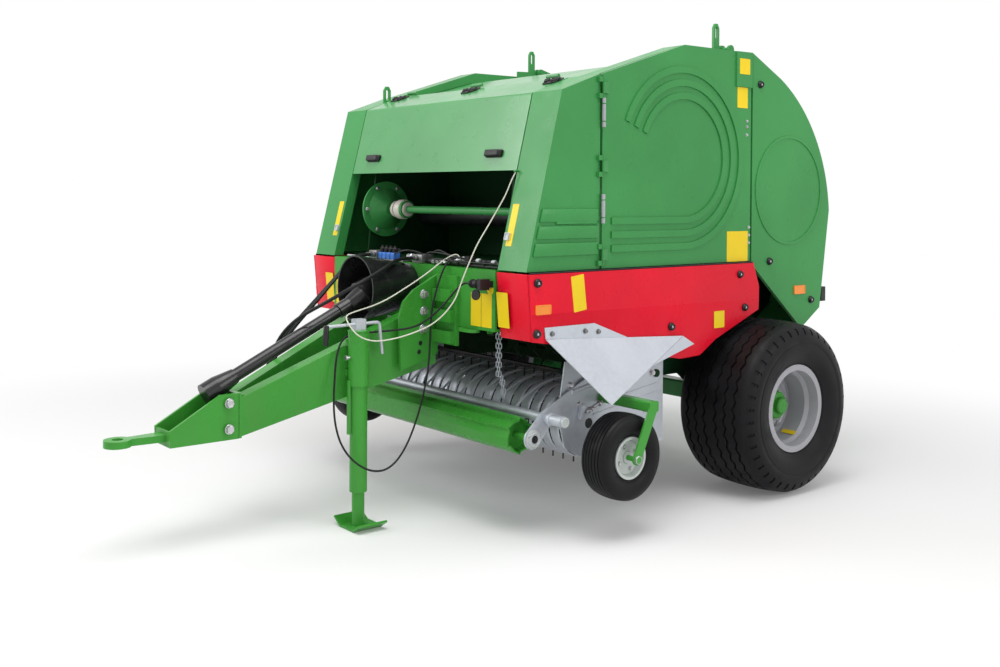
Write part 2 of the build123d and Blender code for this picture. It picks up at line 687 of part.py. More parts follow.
# ---------------------------------------------------------------- hood and doors
with BuildPart() as hood:
    skin = [
        (front_y(HOOD_LOW_Z), HOOD_LOW_Z),
        (front_y(2108), 2108),
        (ROOF[0][0] + 4, ROOF[0][1]),
        (ROOF[1][0] - 5, ROOF[1][1]),
        (ROOF[1][0] - 5, ROOF[1][1] - 14),
        (ROOF[0][0] + 18, ROOF[0][1] - 14),
        (front_y(HOOD_LOW_Z) + 16, HOOD_LOW_Z),
    ]
    extrude(side_face(skin, -HOOD_X), amount=2 * HOOD_X)
    ends = [
        (front_y(HOOD_LOW_Z), HOOD_LOW_Z),
        (front_y(2108), 2108),
        (ROOF[0][0] + 4, ROOF[0][1]),
        (ROOF[1][0] - 5, ROOF[1][1]),
        (ROOF[1][0] - 5, ROOF[1][1] - 40),
        (front_y(2108) + 70, 2060),
        (front_y(HOOD_LOW_Z) + 70, HOOD_LOW_Z),
    ]
    extrude(side_face(ends, HOOD_X - 14), amount=14)
    extrude(side_face(ends, -HOOD_X), amount=14)
    # hinge knuckles along the rear edge
    for x in (-620, 0, 620):
        extrude(disc_face(HOOD_HINGE, 9, x - 45), amount=90)
save(hood.part, "hood")

with BuildPart() as hood_handles:
    handle_z = 1822
    handle_plane = Plane(at_axle(0, front_y(handle_z), handle_z), x_dir=(1, 0, 0), z_dir=(0, -1, RAKE))
    with BuildSketch(handle_plane):
        with Locations((-545, 0), (545, 0)):
            RectangleRounded(130, 40, 15)
    extrude(amount=28)
save(hood_handles.part, "hood_handles")

with BuildPart() as door_left:
    rear = SPLIT_Y - 5
    door = [(DOOR_HINGE_Y + 8, FLANK_Z), (DOOR_HINGE_Y + 8, 2211), ROOF[2], (rear, 2408), (rear, FLANK_Z)]
    extrude(side_face(door, BODY_X - DOOR_T), amount=DOOR_T)
    # three pressed ribs: level along the bottom, then round in a large arc
    for radius in (458, 390, 322):
        low = polar(RIB_AT, radius, -90)
        with BuildSketch(SIDE.offset(BODY_X)):
            with BuildLine():
                Line((DOOR_HINGE_Y + 70, low[1]), low)
                ThreePointArc(low, polar(RIB_AT, radius, 0), polar(RIB_AT, radius, 158))
            trace(line_width=34)
        extrude(amount=8)
    # raised corner box at the top rear
    extrude(side_face([(-250, 2215), (rear, 2215), (rear, 2408), (-250, 2406)], BODY_X), amount=10)
    # hinge knuckles
    for z in DOOR_HINGE_ZS:
        leaf = [(BODY_X, -1262), (BODY_X, -1225), (BODY_X + 6, -1225), (DOOR_PIN_X + 8, DOOR_HINGE_Y), (DOOR_PIN_X, DOOR_HINGE_Y - 6)]
        with BuildSketch(DECK.offset(z - 27)):
            with BuildLine():
                Polyline(*leaf, close=True)
            make_face()
            with Locations((DOOR_PIN_X, DOOR_HINGE_Y)):
                Circle(8)
                Circle(4.4, mode=Mode.SUBTRACT)
        extrude(amount=54)
save(door_left.part, "door_left")
door_right = mirror(door_left.part, about=Plane.YZ, mode=Mode.PRIVATE)
save(door_right, "door_right")


# ---------------------------------------------------------------- tailgate
def tail_sketch(x, inset=0):
    """The tailgate's side outline at x, optionally drawn in by an inset."""
    with BuildSketch(SIDE.offset(x)) as face:
        with BuildLine():
            front_low = (SPLIT_Y + 10, 1246)
            front_top = (SPLIT_Y + 10, 2408)
            Polyline((632, 1540), (546, 967), (367, 857), front_low, front_top, (158, 2281))
            ThreePointArc((158, 2281), (500, 1950), (632, 1540))
        make_face()
        if inset:
            offset(amount=-inset)
    return face.sketch


with BuildPart() as tailgate_sides:
    extrude(tail_sketch(BODY_X - DOOR_T), amount=DOOR_T)
    with BuildSketch(SIDE.offset(BODY_X)):
        with Locations((238, 1655)):
            Circle(310)
            Circle(296, mode=Mode.SUBTRACT)
    extrude(amount=5)
    mirror(about=Plane.YZ)
save(tailgate_sides.part, "tailgate_sides")

with BuildPart() as tailgate_shell:
    shell_x = BODY_X - DOOR_T - 1
    extrude(tail_sketch(-shell_x, 1), amount=2 * shell_x)
    extrude(tail_sketch(-shell_x, 13), amount=2 * shell_x, mode=Mode.SUBTRACT)
    open_front = [(-300, 2600), (SPLIT_Y + 24, 2600), (SPLIT_Y + 24, 1284), (364, 898), (354, 820), (-300, 1100)]
    extrude(side_face(open_front, -shell_x), amount=2 * shell_x, mode=Mode.SUBTRACT)
save(tailgate_shell.part, "tailgate_shell")

with BuildPart() as tailgate_walls:
    inner = [
        (SPLIT_Y + 10, 2320),
        (60, 2290),
        (300, 2110),
        (470, 1890),
        (580, 1600),
        (555, 1150),
        (500, 970),
        (366, 880),
        (SPLIT_Y + 10, 880),
    ]
    extrude(side_face(inner, WALL_X), amount=WALL_T)
    mirror(about=Plane.YZ)
save(tailgate_walls.part, "tailgate_walls")

with BuildPart() as tailgate_ears:
    ear = [(SPLIT_Y + 12, 2403), (100, 2311), (100, 2330), (-60, 2440)]
    with BuildSketch(SIDE.offset(745)):
        with BuildLine():
            Polyline(*ear, close=True)
        make_face()
        with Locations(TAILGATE_HINGE):
            Circle(26)
        make_hull()
        with BuildLine():
            Polyline((-400, 2300), (-400, 2409.5), (-100, 2409.5), (158, 2282.5), (158, 2200), close=True)
        make_face(mode=Mode.SUBTRACT)
        with Locations(TAILGATE_HINGE):
            Circle(TAILGATE_PIN_R + 0.4, mode=Mode.SUBTRACT)
    extrude(amount=12)
    mirror(about=Plane.YZ)
save(tailgate_ears.part, "tailgate_ears")

with BuildPart() as tailgate_rollers:
    rollers(range(-72, 90, 18))
save(tailgate_rollers.part, "tailgate_rollers")

with BuildPart() as tail_lamps:
    extrude(front_face([(790, 1000), (945, 1000), (945, 1085), (790, 1085)], 620), amount=40)
    extrude(side_face([(556, 1025), (580, 1025), (580, 1060), (561, 1060)], 830), amount=80)
    mirror(about=Plane.YZ)
save(tail_lamps.part, "tail_lamps")


# ---------------------------------------------------------------- wheels
def turned(profile, centre, x):
    """A solid turned about a cross-wise axis; the profile is (across, radius) pairs."""
    with BuildPart() as solid:
        with BuildSketch(Plane(at_axle(x, *centre), x_dir=(1, 0, 0), z_dir=(0, -1, 0))):
            with BuildLine():
                Polyline(*profile, close=True)
            make_face()
        revolve(axis=Axis(at_axle(0, *centre), (1, 0, 0)))
    return solid.part


TYRE = [
    (-200, RIM_R), (-200, 242), (-237, 268), (-250, 330), (-247, 400), (-215, 448), (-150, WHEEL_R),
    (150, WHEEL_R), (215, 448), (247, 400), (250, 330), (237, 268), (200, 242), (200, RIM_R),
    (180, RIM_R), (180, 250), (222, 330), (200, 410), (130, 435),
    (-130, 435), (-200, 410), (-222, 330), (-180, 250), (-180, RIM_R),
]
RIM = [
    (214, 238), (202, 238), (202, 215), (150, 213), (130, 195), (-202, 205), (-202, 238), (-214, 238),
    (-214, 198), (20, 190), (20, 34.4), (90, 34.4), (90, 68), (34, 72), (34, 186), (140, 186), (160, 200), (214, 206),
]
GAUGE_TYRE = [
    (-58, GAUGE_RIM_R), (-74, 130), (-77.5, 160), (-66, 196), (-45, GAUGE_R), (45, GAUGE_R), (66, 196),
    (77.5, 160), (74, 130), (58, GAUGE_RIM_R), (48, 118), (58, 160), (48, 186), (-48, 186), (-58, 160), (-48, 118),
]
GAUGE_RIM = [
    (57, 100), (45, 98), (30, 90), (-57, 90), (-57, 100), (-64, 100), (-64, 84), (-5, 82), (-5, 12.3), (45, 12.3),
    (45, 28), (8, 34), (8, 80), (36, 82), (64, 88), (64, 100),
]
WHEELS = [
    # name, tyre profile, rim profile, centre (y, z), x
    ("wheel", TYRE, RIM, (0, WHEEL_R), WHEEL_X),
    ("gauge", GAUGE_TYRE, GAUGE_RIM, GAUGE_AT, GAUGE_X),
]
for name, tyre, rim, centre, x in WHEELS:
    for side, sign in (("left", 1), ("right", -1)):
        for kind, profile in (("tyre", tyre), ("rim", rim)):
            flipped = [(sign * across, radius) for across, radius in profile]
            save(turned(flipped, centre, sign * x), f"{name}_{side}_{kind}")

# ---------------------------------------------------------------- pickup
with BuildPart() as pickup_frame:
    plate = [
        (-1440, 815), (-1462, 690), (-1485, 560), (-1440, 400), (-1344, 345), (-1010, 318),
        (-745, 345), (-745, 760), (-900, 850), (-1250, 850),
    ]
    extrude(side_face(plate, PICKUP_X), amount=8)
    extrude(disc_face(PICKUP_PIVOT, 20.5, PICKUP_X), amount=8, mode=Mode.SUBTRACT)
    extrude(disc_face(REEL_AT, 25.5, PICKUP_X), amount=8, mode=Mode.SUBTRACT)
    mirror(about=Plane.YZ)
    with BuildSketch(SIDE.offset(-PICKUP_X)):
        with Locations((-800, 430)):
            RectangleRounded(60, 60, 8)
    extrude(amount=2 * PICKUP_X)
save(pickup_frame.part, "pickup_frame")

BAND_N = 23
BAND_PITCH = 2 * (PICKUP_X - 15) / BAND_N
BAND_GAP = 16
BAND_T = 5
with BuildPart() as pickup_bands:
    with BuildSketch(SIDE.offset(-PICKUP_X + 15)) as band:
        with BuildLine():
            bottom = polar(REEL_AT, BAND_R, -90)
            top = polar(REEL_AT, BAND_R, 95)
            bottom_in = polar(REEL_AT, BAND_R - BAND_T, -90)
            top_in = polar(REEL_AT, BAND_R - BAND_T, 95)
            back, back_in = (-1140, 683), (-1140, 683 - BAND_T)
            Line((-1040, bottom[1]), bottom)
            ThreePointArc(bottom, polar(REEL_AT, BAND_R, 180), top)
            Line(top, back)
            Line(back, back_in)
            Line(back_in, top_in)
            ThreePointArc(top_in, polar(REEL_AT, BAND_R - BAND_T, 180), bottom_in)
            Line(bottom_in, (-1040, bottom_in[1]))
            Line((-1040, bottom_in[1]), (-1040, bottom[1]))
        make_face()
    extrude(amount=BAND_PITCH - BAND_GAP)
    strip = band.sketch
    for n in range(1, BAND_N):
        extrude(Pos(n * BAND_PITCH, 0, 0) * strip, amount=BAND_PITCH - BAND_GAP)
    for centre in ((-1025, bottom[1] + 2), (-1128, 688)):
        with BuildSketch(SIDE.offset(-PICKUP_X + 1)):
            with Locations(centre):
                Rectangle(32, 32)
        extrude(amount=2 * PICKUP_X - 2)
save(pickup_bands.part, "pickup_bands")

TINE_W = 5
with BuildPart() as tine_reel:
    extrude(disc_face(REEL_AT, 25, -PICKUP_X - 6), amount=2 * PICKUP_X + 12)
    for angle in range(0, 360, 90):
        bar = polar(REEL_AT, 118, angle)
        extrude(disc_face(bar, 14, -PICKUP_X + 8), amount=2 * PICKUP_X - 16)
    for x in (-PICKUP_X + 8, -6, PICKUP_X - 20):
        extrude(disc_face(REEL_AT, 140, x), amount=12)
    for n in range(BAND_N - 1):
        x = -PICKUP_X + 15 + (n + 1) * BAND_PITCH - (BAND_GAP + TINE_W) / 2
        with BuildSketch(Plane(at_axle(x, *REEL_AT), x_dir=(0, 1, 0), z_dir=(1, 0, 0))):
            with PolarLocations(TINE_R - 48, 4):
                Rectangle(96, 7)
        extrude(amount=TINE_W)
save(tine_reel.part, "tine_reel")

with BuildPart() as gauge_arms:
    mount = (-1185, 622)
    with BuildSketch(SIDE.offset(PICKUP_X + 8)):
        with Locations(mount):
            RectangleRounded(60, 50, 8)
    extrude(amount=1236 - PICKUP_X - 8)
    extrude(link_face((mount, GAUGE_AT), (26, 26), 1226), amount=10)
    extrude(disc_face(GAUGE_AT, 12, 1226), amount=-180)
    extrude(disc_face(GAUGE_AT, 16, 1236), amount=10)
    mirror(about=Plane.YZ)
save(gauge_arms.part, "gauge_arms")

with BuildPart() as windguard:
    for sign in (1, -1):
        arm_x = sign * (PICKUP_X + 20)
        extrude(link_face((GUARD_PIVOT, GUARD_BAR), (34, 42), arm_x), amount=sign * 8)
        extrude(link_face((GUARD_BAR, CROP_ROLLER_AT), (42, 50), arm_x), amount=sign * 8)
        extrude(disc_face(CROP_ROLLER_AT, 38, arm_x + sign * 8), amount=sign * 14)
        # sleeved end of the bar, with its cap
        extrude(disc_face(GUARD_BAR, 27, sign * (PICKUP_X + 62)), amount=sign * 86)
        extrude(disc_face(GUARD_BAR, 24, sign * (PICKUP_X + 148)), amount=sign * 8)
    extrude(disc_face(GUARD_BAR, 22, -PICKUP_X - 65), amount=2 * PICKUP_X + 130)
    for n in range(2, BAND_N - 1, 2):
        x = -PICKUP_X + 15 + (n + 0.5) * BAND_PITCH - BAND_GAP / 2
        with BuildLine(SIDE.offset(x)) as route:
            Spline(GUARD_BAR, (-1505, 622), (-1380, 679), (-1250, 694))
        with BuildSketch(Plane(route.line @ 0, z_dir=route.line % 0)):
            RegularPolygon(7, 6)
        sweep(path=route.line)
save(windguard.part, "windguard")

ROLLER_X = 822             # half length of the crop roller


def roller_section(drop=0):
    """Six overlapping plates around the roller, each one lipped over the next."""
    points = []
    for angle in range(30, 390, 60):
        for radius, turn in ((CROP_ROLLER_R, 0), (CROP_ROLLER_R - 14, 4), (CROP_ROLLER_R - 10, 32)):
            points.append(polar(CROP_ROLLER_AT, radius - drop, angle + turn))
    return points


with BuildPart() as crop_roller:
    with BuildSketch(SIDE.offset(-ROLLER_X)):
        with BuildLine():
            Polyline(*roller_section(), close=True)
        make_face()
        with BuildLine():
            Polyline(*roller_section(8), close=True)
        make_face(mode=Mode.SUBTRACT)
    extrude(amount=2 * ROLLER_X)
    for x in (-ROLLER_X + 40, ROLLER_X - 48):
        with BuildSketch(SIDE.offset(x)):
            with BuildLine():
                Polyline(*roller_section(4), close=True)
            make_face()
        extrude(amount=8)
    extrude(disc_face(CROP_ROLLER_AT, 15, -PICKUP_X - 14), amount=2 * PICKUP_X + 28)
save(crop_roller.part, "crop_roller")

with BuildPart() as feed_rotor:
    extrude(disc_face(ROTOR_AT, 60, -WALL_X + 5), amount=2 * WALL_X - 10)
    for n in range(9):
        x = -540 + 135 * n
        with BuildSketch(Plane(at_axle(x - 4, *ROTOR_AT), x_dir=(0, 1, 0), z_dir=(1, 0, 0))):
            for angle in range(0, 360, 90):
                with BuildLine():
                    tip = polar((0, 0), ROTOR_R, angle + 9 * n)
                    heel = polar((0, 0), 58, angle + 9 * n - 38)
                    toe = polar((0, 0), 58, angle + 9 * n + 38)
                    Polyline(tip, heel, toe, close=True)
                make_face()
            Circle(58)
        extrude(amount=8)
save(feed_rotor.part, "feed_rotor")
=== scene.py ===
import math

import bmesh
import bpy
from mathutils import Matrix, Vector


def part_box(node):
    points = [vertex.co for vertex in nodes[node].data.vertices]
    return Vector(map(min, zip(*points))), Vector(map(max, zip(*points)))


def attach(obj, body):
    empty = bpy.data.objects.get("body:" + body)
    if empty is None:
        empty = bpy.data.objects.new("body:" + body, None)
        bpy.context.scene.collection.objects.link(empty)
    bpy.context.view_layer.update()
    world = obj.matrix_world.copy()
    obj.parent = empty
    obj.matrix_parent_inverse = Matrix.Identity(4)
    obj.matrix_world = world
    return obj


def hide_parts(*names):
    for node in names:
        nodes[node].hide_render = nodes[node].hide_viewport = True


# Round baler, seen from the front left corner. Metres, +Z up, the drawbar points to -Y.

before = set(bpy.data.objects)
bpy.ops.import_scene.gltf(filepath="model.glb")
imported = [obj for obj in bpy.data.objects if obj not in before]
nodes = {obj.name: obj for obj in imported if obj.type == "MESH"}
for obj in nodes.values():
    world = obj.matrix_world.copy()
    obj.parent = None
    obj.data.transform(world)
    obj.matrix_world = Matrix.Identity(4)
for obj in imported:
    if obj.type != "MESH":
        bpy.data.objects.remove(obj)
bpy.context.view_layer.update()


def middle(node):
    """The centre of a node's box."""
    low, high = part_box(node)
    return (low + high) / 2


AXLE_Y = middle("wheel_left_tyre").y
GAUGE_AT = middle("gauge_left_tyre")
SKIRT_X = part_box("skirts")[1].x
DOOR_X = 0.955             # outer face of the doors and flanks
DOOR_PIN = (0.972, -1.270)
BEAM_X = 0.735             # half length of the front beam
BEAM_FACE, BEAM_TOP = -1.750, 1.257
FRONT_FOOT = (-1.746, 1.260)
FRONT_RAKE = 0.2523        # how far the front leans back for each metre of height
FRONT_TILT = math.atan(FRONT_RAKE)
FRONT_NORMAL = Vector((0, -math.cos(FRONT_TILT), math.sin(FRONT_TILT)))
FRONT_UP = Vector((0, math.sin(FRONT_TILT), math.cos(FRONT_TILT)))
SIDES = (("left", 1), ("right", -1))


def spot(x, y, z):
    """A point from x, the distance behind the axle, and the height."""
    return Vector((x, y + AXLE_Y, z))


def front_spot(x, z):
    """A point on the raked front at height z."""
    return spot(x, FRONT_FOOT[0] + (z - FRONT_FOOT[1]) * FRONT_RAKE, z)


# ------------------------------------------------------------------ camera
SENSOR = 36.0
HEADING, PITCH, ROLL = math.radians(51.432), math.radians(0.875), math.radians(0.345)
level = Vector((math.cos(HEADING), math.sin(HEADING), 0))
ahead = Vector((-math.sin(HEADING), math.cos(HEADING), 0))
forward = ahead * math.cos(PITCH) - Vector((0, 0, math.sin(PITCH)))
upright = level.cross(forward)
right = level * math.cos(ROLL) + upright * math.sin(ROLL)
over = upright * math.cos(ROLL) - level * math.sin(ROLL)
lens = bpy.data.cameras.new("camera")
lens.sensor_width = SENSOR
lens.lens = 39.07
lens.shift_x, lens.shift_y = 0.0186, -0.1215
lens.clip_end = 200
camera = bpy.data.objects.new("camera", lens)
camera_turn = Matrix((right, over, -forward)).transposed().to_4x4()
camera.matrix_world = Matrix.Translation((4.714, -3.6498, 1.6144)) @ camera_turn
bpy.context.scene.collection.objects.link(camera)
bpy.context.scene.camera = camera


# ------------------------------------------------------------------ finishes
class Link:
    """A shader value; sums with it add their nodes."""

    def __init__(self, finish, socket):
        self.finish, self.socket = finish, socket

    def sum(self, operation, first, second):
        return self.finish.node("ShaderNodeMath", {"operation": operation}, {0: first, 1: second})

    def __add__(self, other):
        return self.sum("ADD", self, other)

    def __mul__(self, other):
        return self.sum("MULTIPLY", self, other)


class Finish:
    """A material and the nodes that make it."""

    def __init__(self, name, fixed=()):
        self.material = bpy.data.materials.new(name)
        self.material.use_nodes = True
        self.tree = self.material.node_tree
        self.shader = self.tree.nodes["Principled BSDF"]
        for socket, value in dict(fixed).items():
            self.shader.inputs[socket].default_value = value
        self.place = self.node("ShaderNodeTexCoord", out="Object")

    def node(self, kind, settings=(), sockets=(), out=0):
        made = self.tree.nodes.new(kind)
        for key, value in dict(settings).items():
            setattr(made, key, value)
        for key, value in dict(sockets).items():
            if isinstance(value, Link):
                self.tree.links.new(value.socket, made.inputs[key])
            else:
                made.inputs[key].default_value = value
        return Link(self, made.outputs[out])

    def stretched(self, *scale):
        return self.node("ShaderNodeMapping", {}, {"Vector": self.place, "Scale": scale})

    def noise(self, scale, detail=3, where=None):
        return self.node("ShaderNodeTexNoise", {},
                         {"Vector": where or self.place, "Scale": scale, "Detail": detail})

    def height(self):
        return self.node("ShaderNodeSeparateXYZ", {}, {0: self.place}, out="Z")

    def between(self, value, low, high, start=0.0, end=1.0):
        return self.node(
            "ShaderNodeMapRange",
            {"interpolation_type": "SMOOTHSTEP"},
            {"Value": value, "From Min": low, "From Max": high, "To Min": start, "To Max": end},
        )

    def mix(self, share, first, second):
        first, second = ((*c, 1) if isinstance(c, tuple) and len(c) == 3 else c for c in (first, second))
        return self.node("ShaderNodeMix", {"data_type": "RGBA"}, {0: share, 6: first, 7: second}, out=2)

    def relief(self, height, strength, distance, under=None):
        sockets = {"Height": height, "Strength": strength, "Distance": distance}
        if under:
            sockets["Normal"] = under
        return self.node("ShaderNodeBump", {}, sockets)

    def feed(self, **links):
        for name, link in links.items():
            self.tree.links.new(link.socket, self.shader.inputs[name.replace("_", " ").title()])
        return self.material


def shade(colour, factor):
    return tuple(min(1, part * factor) for part in colour)


def paint(name, colour, rough=0.3, coat=0.06, shine=0.2, dusty=0.03, grime=(0.10, 0.085, 0.06)):
    """Sprayed paint: slight unevenness, orange peel, dust that settles low down, and small chips."""
    f = Finish(name, {"Coat Weight": coat, "Coat Roughness": 0.12, "Specular IOR Level": shine})
    tone = f.mix(f.between(f.noise(1.6, 4), 0.3, 0.7), shade(colour, 0.9), shade(colour, 1.08))
    low = f.between(f.height(), 1.35, 0.3)
    dust = f.between(f.noise(7, 6, f.stretched(1, 1, 0.35)), 0.42, 0.75) * low
    settled = f.mix(dust * dusty * 3, tone, shade(grime, 2.2))
    chip = f.between(f.noise(46, 2), 0.735, 0.75) * f.between(f.noise(5, 2), 0.5, 0.62)
    peel = f.relief(f.noise(380, 2), 0.05, 0.002)
    wave = f.relief(f.noise(2.6, 1), 0.08, 0.012, peel)
    return f.feed(
        base_color=f.mix(chip * 0.3, settled, shade(grime, 1.2)),
        roughness=f.between(f.noise(9, 4), 0.2, 0.8, rough - 0.05, rough + 0.07) + dust * 0.3,
        normal=wave,
    )


def zinc(name, colour, metal=0.45, rough=0.42, spangle=75):
    """Hot dip galvanising: crystal flakes, pale runs and a dull bloom."""
    f = Finish(name, {"Metallic": metal})
    flake = f.node("ShaderNodeTexVoronoi", {}, {"Vector": f.place, "Scale": spangle}, out="Color")
    grey = f.node("ShaderNodeRGBToBW", {}, {0: flake})
    runs = f.between(f.noise(5, 5, f.stretched(1, 1, 0.3)), 0.35, 0.7)
    tone = f.mix(grey, shade(colour, 0.94), shade(colour, 1.05))
    return f.feed(
        base_color=f.mix(runs * 0.35, tone, shade(colour, 1.2)),
        roughness=f.between(grey, 0, 1, rough - 0.08, rough + 0.08) + runs * 0.08,
        normal=f.relief(f.noise(120, 3), 0.06, 0.002),
    )


def plastic(name, colour, rough=0.42, grain=600, coat=0.0):
    """Moulded plastic with a fine grain and rubbed patches."""
    f = Finish(name, {"Coat Weight": coat, "Specular IOR Level": 0.3})
    rub = f.between(f.noise(14, 4), 0.45, 0.7)
    return f.feed(
        base_color=f.mix(rub, colour, tuple(part * 1.15 + 0.008 for part in colour)),
        roughness=f.between(rub, 0, 1, rough, rough - 0.1),
        normal=f.relief(f.noise(grain, 2), 0.12, 0.001),
    )


def rubber(name, colour=(0.006, 0.006, 0.007), rough=0.5):
    """Tyre rubber: dark and slightly polished on top, with dust in its pores."""
    f = Finish(name, {"Specular IOR Level": 0.16})
    cloud = f.between(f.noise(6, 5), 0.4, 0.72)
    pores = f.noise(260, 3)
    return f.feed(
        base_color=f.mix(cloud * 0.5, colour, shade(colour, 2.0)),
        roughness=f.between(cloud, 0, 1, rough - 0.08, rough + 0.12),
        normal=f.relief(pores, 0.2, 0.001),
    )


def steel(name, colour=(0.5, 0.5, 0.5), rough=0.3, rust=0.0):
    """Bare or plated steel with turning marks and stains."""
    f = Finish(name, {"Metallic": 0.9})
    marks = f.noise(90, 4, f.stretched(1, 0.15, 1))
    stain = f.between(f.noise(11, 5), 0.5, 0.7)
    return f.feed(
        base_color=f.mix(stain * (0.25 + rust), f.mix(marks, shade(colour, 0.8), shade(colour, 1.15)),
                         (0.16, 0.13, 0.10)),
        roughness=f.between(marks, 0.2, 0.8, rough - 0.07, rough + 0.12),
        normal=f.relief(marks, 0.08, 0.001),
    )


def lens_plastic(name, colour):
    """A lamp or reflector lens, with its prism squares behind a clear face."""
    f = Finish(name, {"Coat Weight": 0.3, "Coat Roughness": 0.06, "Roughness": 0.25})
    prism = f.node("ShaderNodeTexVoronoi", {"distance": "CHEBYCHEV"},
                   {"Vector": f.place, "Scale": 170, "Randomness": 0.0})
    return f.feed(
        base_color=f.mix(f.between(prism, 0.1, 0.6), shade(colour, 1.1), shade(colour, 0.8)),
        normal=f.relief(prism, 0.3, 0.001),
    )


def braid(name, colour, pitch=420):
    """A braided cord."""
    f = Finish(name, {"Roughness": 0.8, "Sheen Weight": 0.3})
    strand = f.node("ShaderNodeTexWave", {"bands_direction": "DIAGONAL"},
                    {"Vector": f.place, "Scale": pitch / 6, "Distortion": 1.5})
    return f.feed(
        base_color=f.mix(strand, shade(colour, 0.72), shade(colour, 1.1)),
        normal=f.relief(strand, 0.5, 0.001),
    )


GREEN = (0.045, 0.262, 0.068)
BRIGHT = (0.045, 0.29, 0.035)
green = paint("green_panel_paint", GREEN)
# The inner walls, cross tubes, feed rotor, tailgate walls and net box share the panels' green, painted far
# darker: painted shade for the dim inside of the machine.
shade_darkened_green = paint("inner_green_paint", (0.006, 0.034, 0.010), rough=0.55, coat=0.0, shine=0.1)
bright_green = paint("bright_frame_paint", BRIGHT, rough=0.26, coat=0.12)
hood_green = paint("hood_green_paint", GREEN, rough=0.3, coat=0.3, shine=0.5)
red = paint("red_skirt_paint", (0.74, 0.006, 0.026), rough=0.28, coat=0.05, shine=0.15)
yellow = paint("yellow_plate_film", (0.86, 0.62, 0.012), rough=0.35, coat=0.08, dusty=0.02)
galvanised = zinc("galvanised_sheet", (0.50, 0.53, 0.58))
band_zinc = zinc("band_steel", (0.44, 0.46, 0.51), metal=0.5, rough=0.38, spangle=60)
disc_zinc = paint("zinc_disc", (0.46, 0.50, 0.48), rough=0.34, coat=0.1, shine=0.5, dusty=0.02)
silver = paint("silver_wheel_paint", (0.36, 0.36, 0.39), rough=0.3, coat=0.25, shine=0.4, dusty=0.03)
bolt_steel = steel("plated_bolts", (0.56, 0.56, 0.58), 0.3)
roller_steel = steel("worn_roller_steel", (0.22, 0.22, 0.22), 0.4, rust=0.25)
tine_steel = steel("black_spring_steel", (0.035, 0.035, 0.038), 0.35)
black = plastic("black_moulding", (0.012, 0.012, 0.013))
gloss_black = plastic("glossy_black_guard", (0.010, 0.010, 0.011), rough=0.28, grain=200, coat=0.2)
blue = plastic("blue_coil_moulding", (0.05, 0.17, 0.55), rough=0.3)
cream = plastic("cream_bush_moulding", (0.62, 0.58, 0.52), rough=0.4)
cap_yellow = plastic("yellow_cap_moulding", (0.82, 0.5, 0.01), rough=0.35)
cap_red = plastic("red_cap_moulding", (0.6, 0.015, 0.01), rough=0.3)
pale_grey = plastic("pale_fitting", (0.5, 0.53, 0.54), rough=0.35)
tread = rubber("tyre_rubber")
hose_skin = rubber("hose_rubber", (0.014, 0.014, 0.015), 0.38)
amber = lens_plastic("amber_reflector", (0.98, 0.27, 0.01))
ruby = lens_plastic("red_lamp_lens", (0.55, 0.012, 0.01))
cord_fibre = braid("cream_cord", (0.72, 0.72, 0.60))

CAD_FINISHES = {
    "axle": green, "cross_tubes": shade_darkened_green, "drawbar": bright_green, "electric_plug": black,
    "front_beam": bright_green, "front_panels": green, "front_rollers": roller_steel, "gearbox": black,
    "hinge_brackets": green, "hitch": bright_green, "hose_couplers": bolt_steel, "jack_crank": galvanised,
    "jack_sleeve": bright_green, "lifting_eyes": green, "net_box": shade_darkened_green, "pto_bell": gloss_black,
    "pto_shaft": gloss_black, "roof": hood_green, "shields": galvanised, "side_roofs": green,
    "side_walls": shade_darkened_green, "skirts": red, "towing_eye": bright_green, "valve_block": bolt_steel,
    "wiring_loom": black, "wheel_left_rim": silver, "wheel_right_rim": silver, "gauge_left_rim": disc_zinc,
    "gauge_right_rim": disc_zinc, "tailgate_sides": green, "tailgate_shell": green,
    "tailgate_walls": shade_darkened_green, "tailgate_ears": green, "tailgate_rollers": roller_steel,
    "tail_lamps": black, "hood": hood_green, "door_left": green, "door_right": green,
    "jack_leg": bright_green, "pickup_frame": galvanised, "gauge_arms": bright_green,
    "tine_reel": tine_steel, "windguard": galvanised, "crop_roller": bright_green,
    "feed_rotor": shade_darkened_green, "net_spindle": green, "net_roller": black, "guard_chains": galvanised,
    "pickup_bands": band_zinc, "hood_handles": black, "rope": cord_fibre, "electric_cable": hose_skin,
    "hose_1": hose_skin, "hose_2": hose_skin, "hose_3": hose_skin, "wheel_left_tyre": tread,
    "wheel_right_tyre": tread, "gauge_left_tyre": tread, "gauge_right_tyre": tread,
}
for name, material in CAD_FINISHES.items():
    nodes[name].data.materials.clear()
    nodes[name].data.materials.append(material)


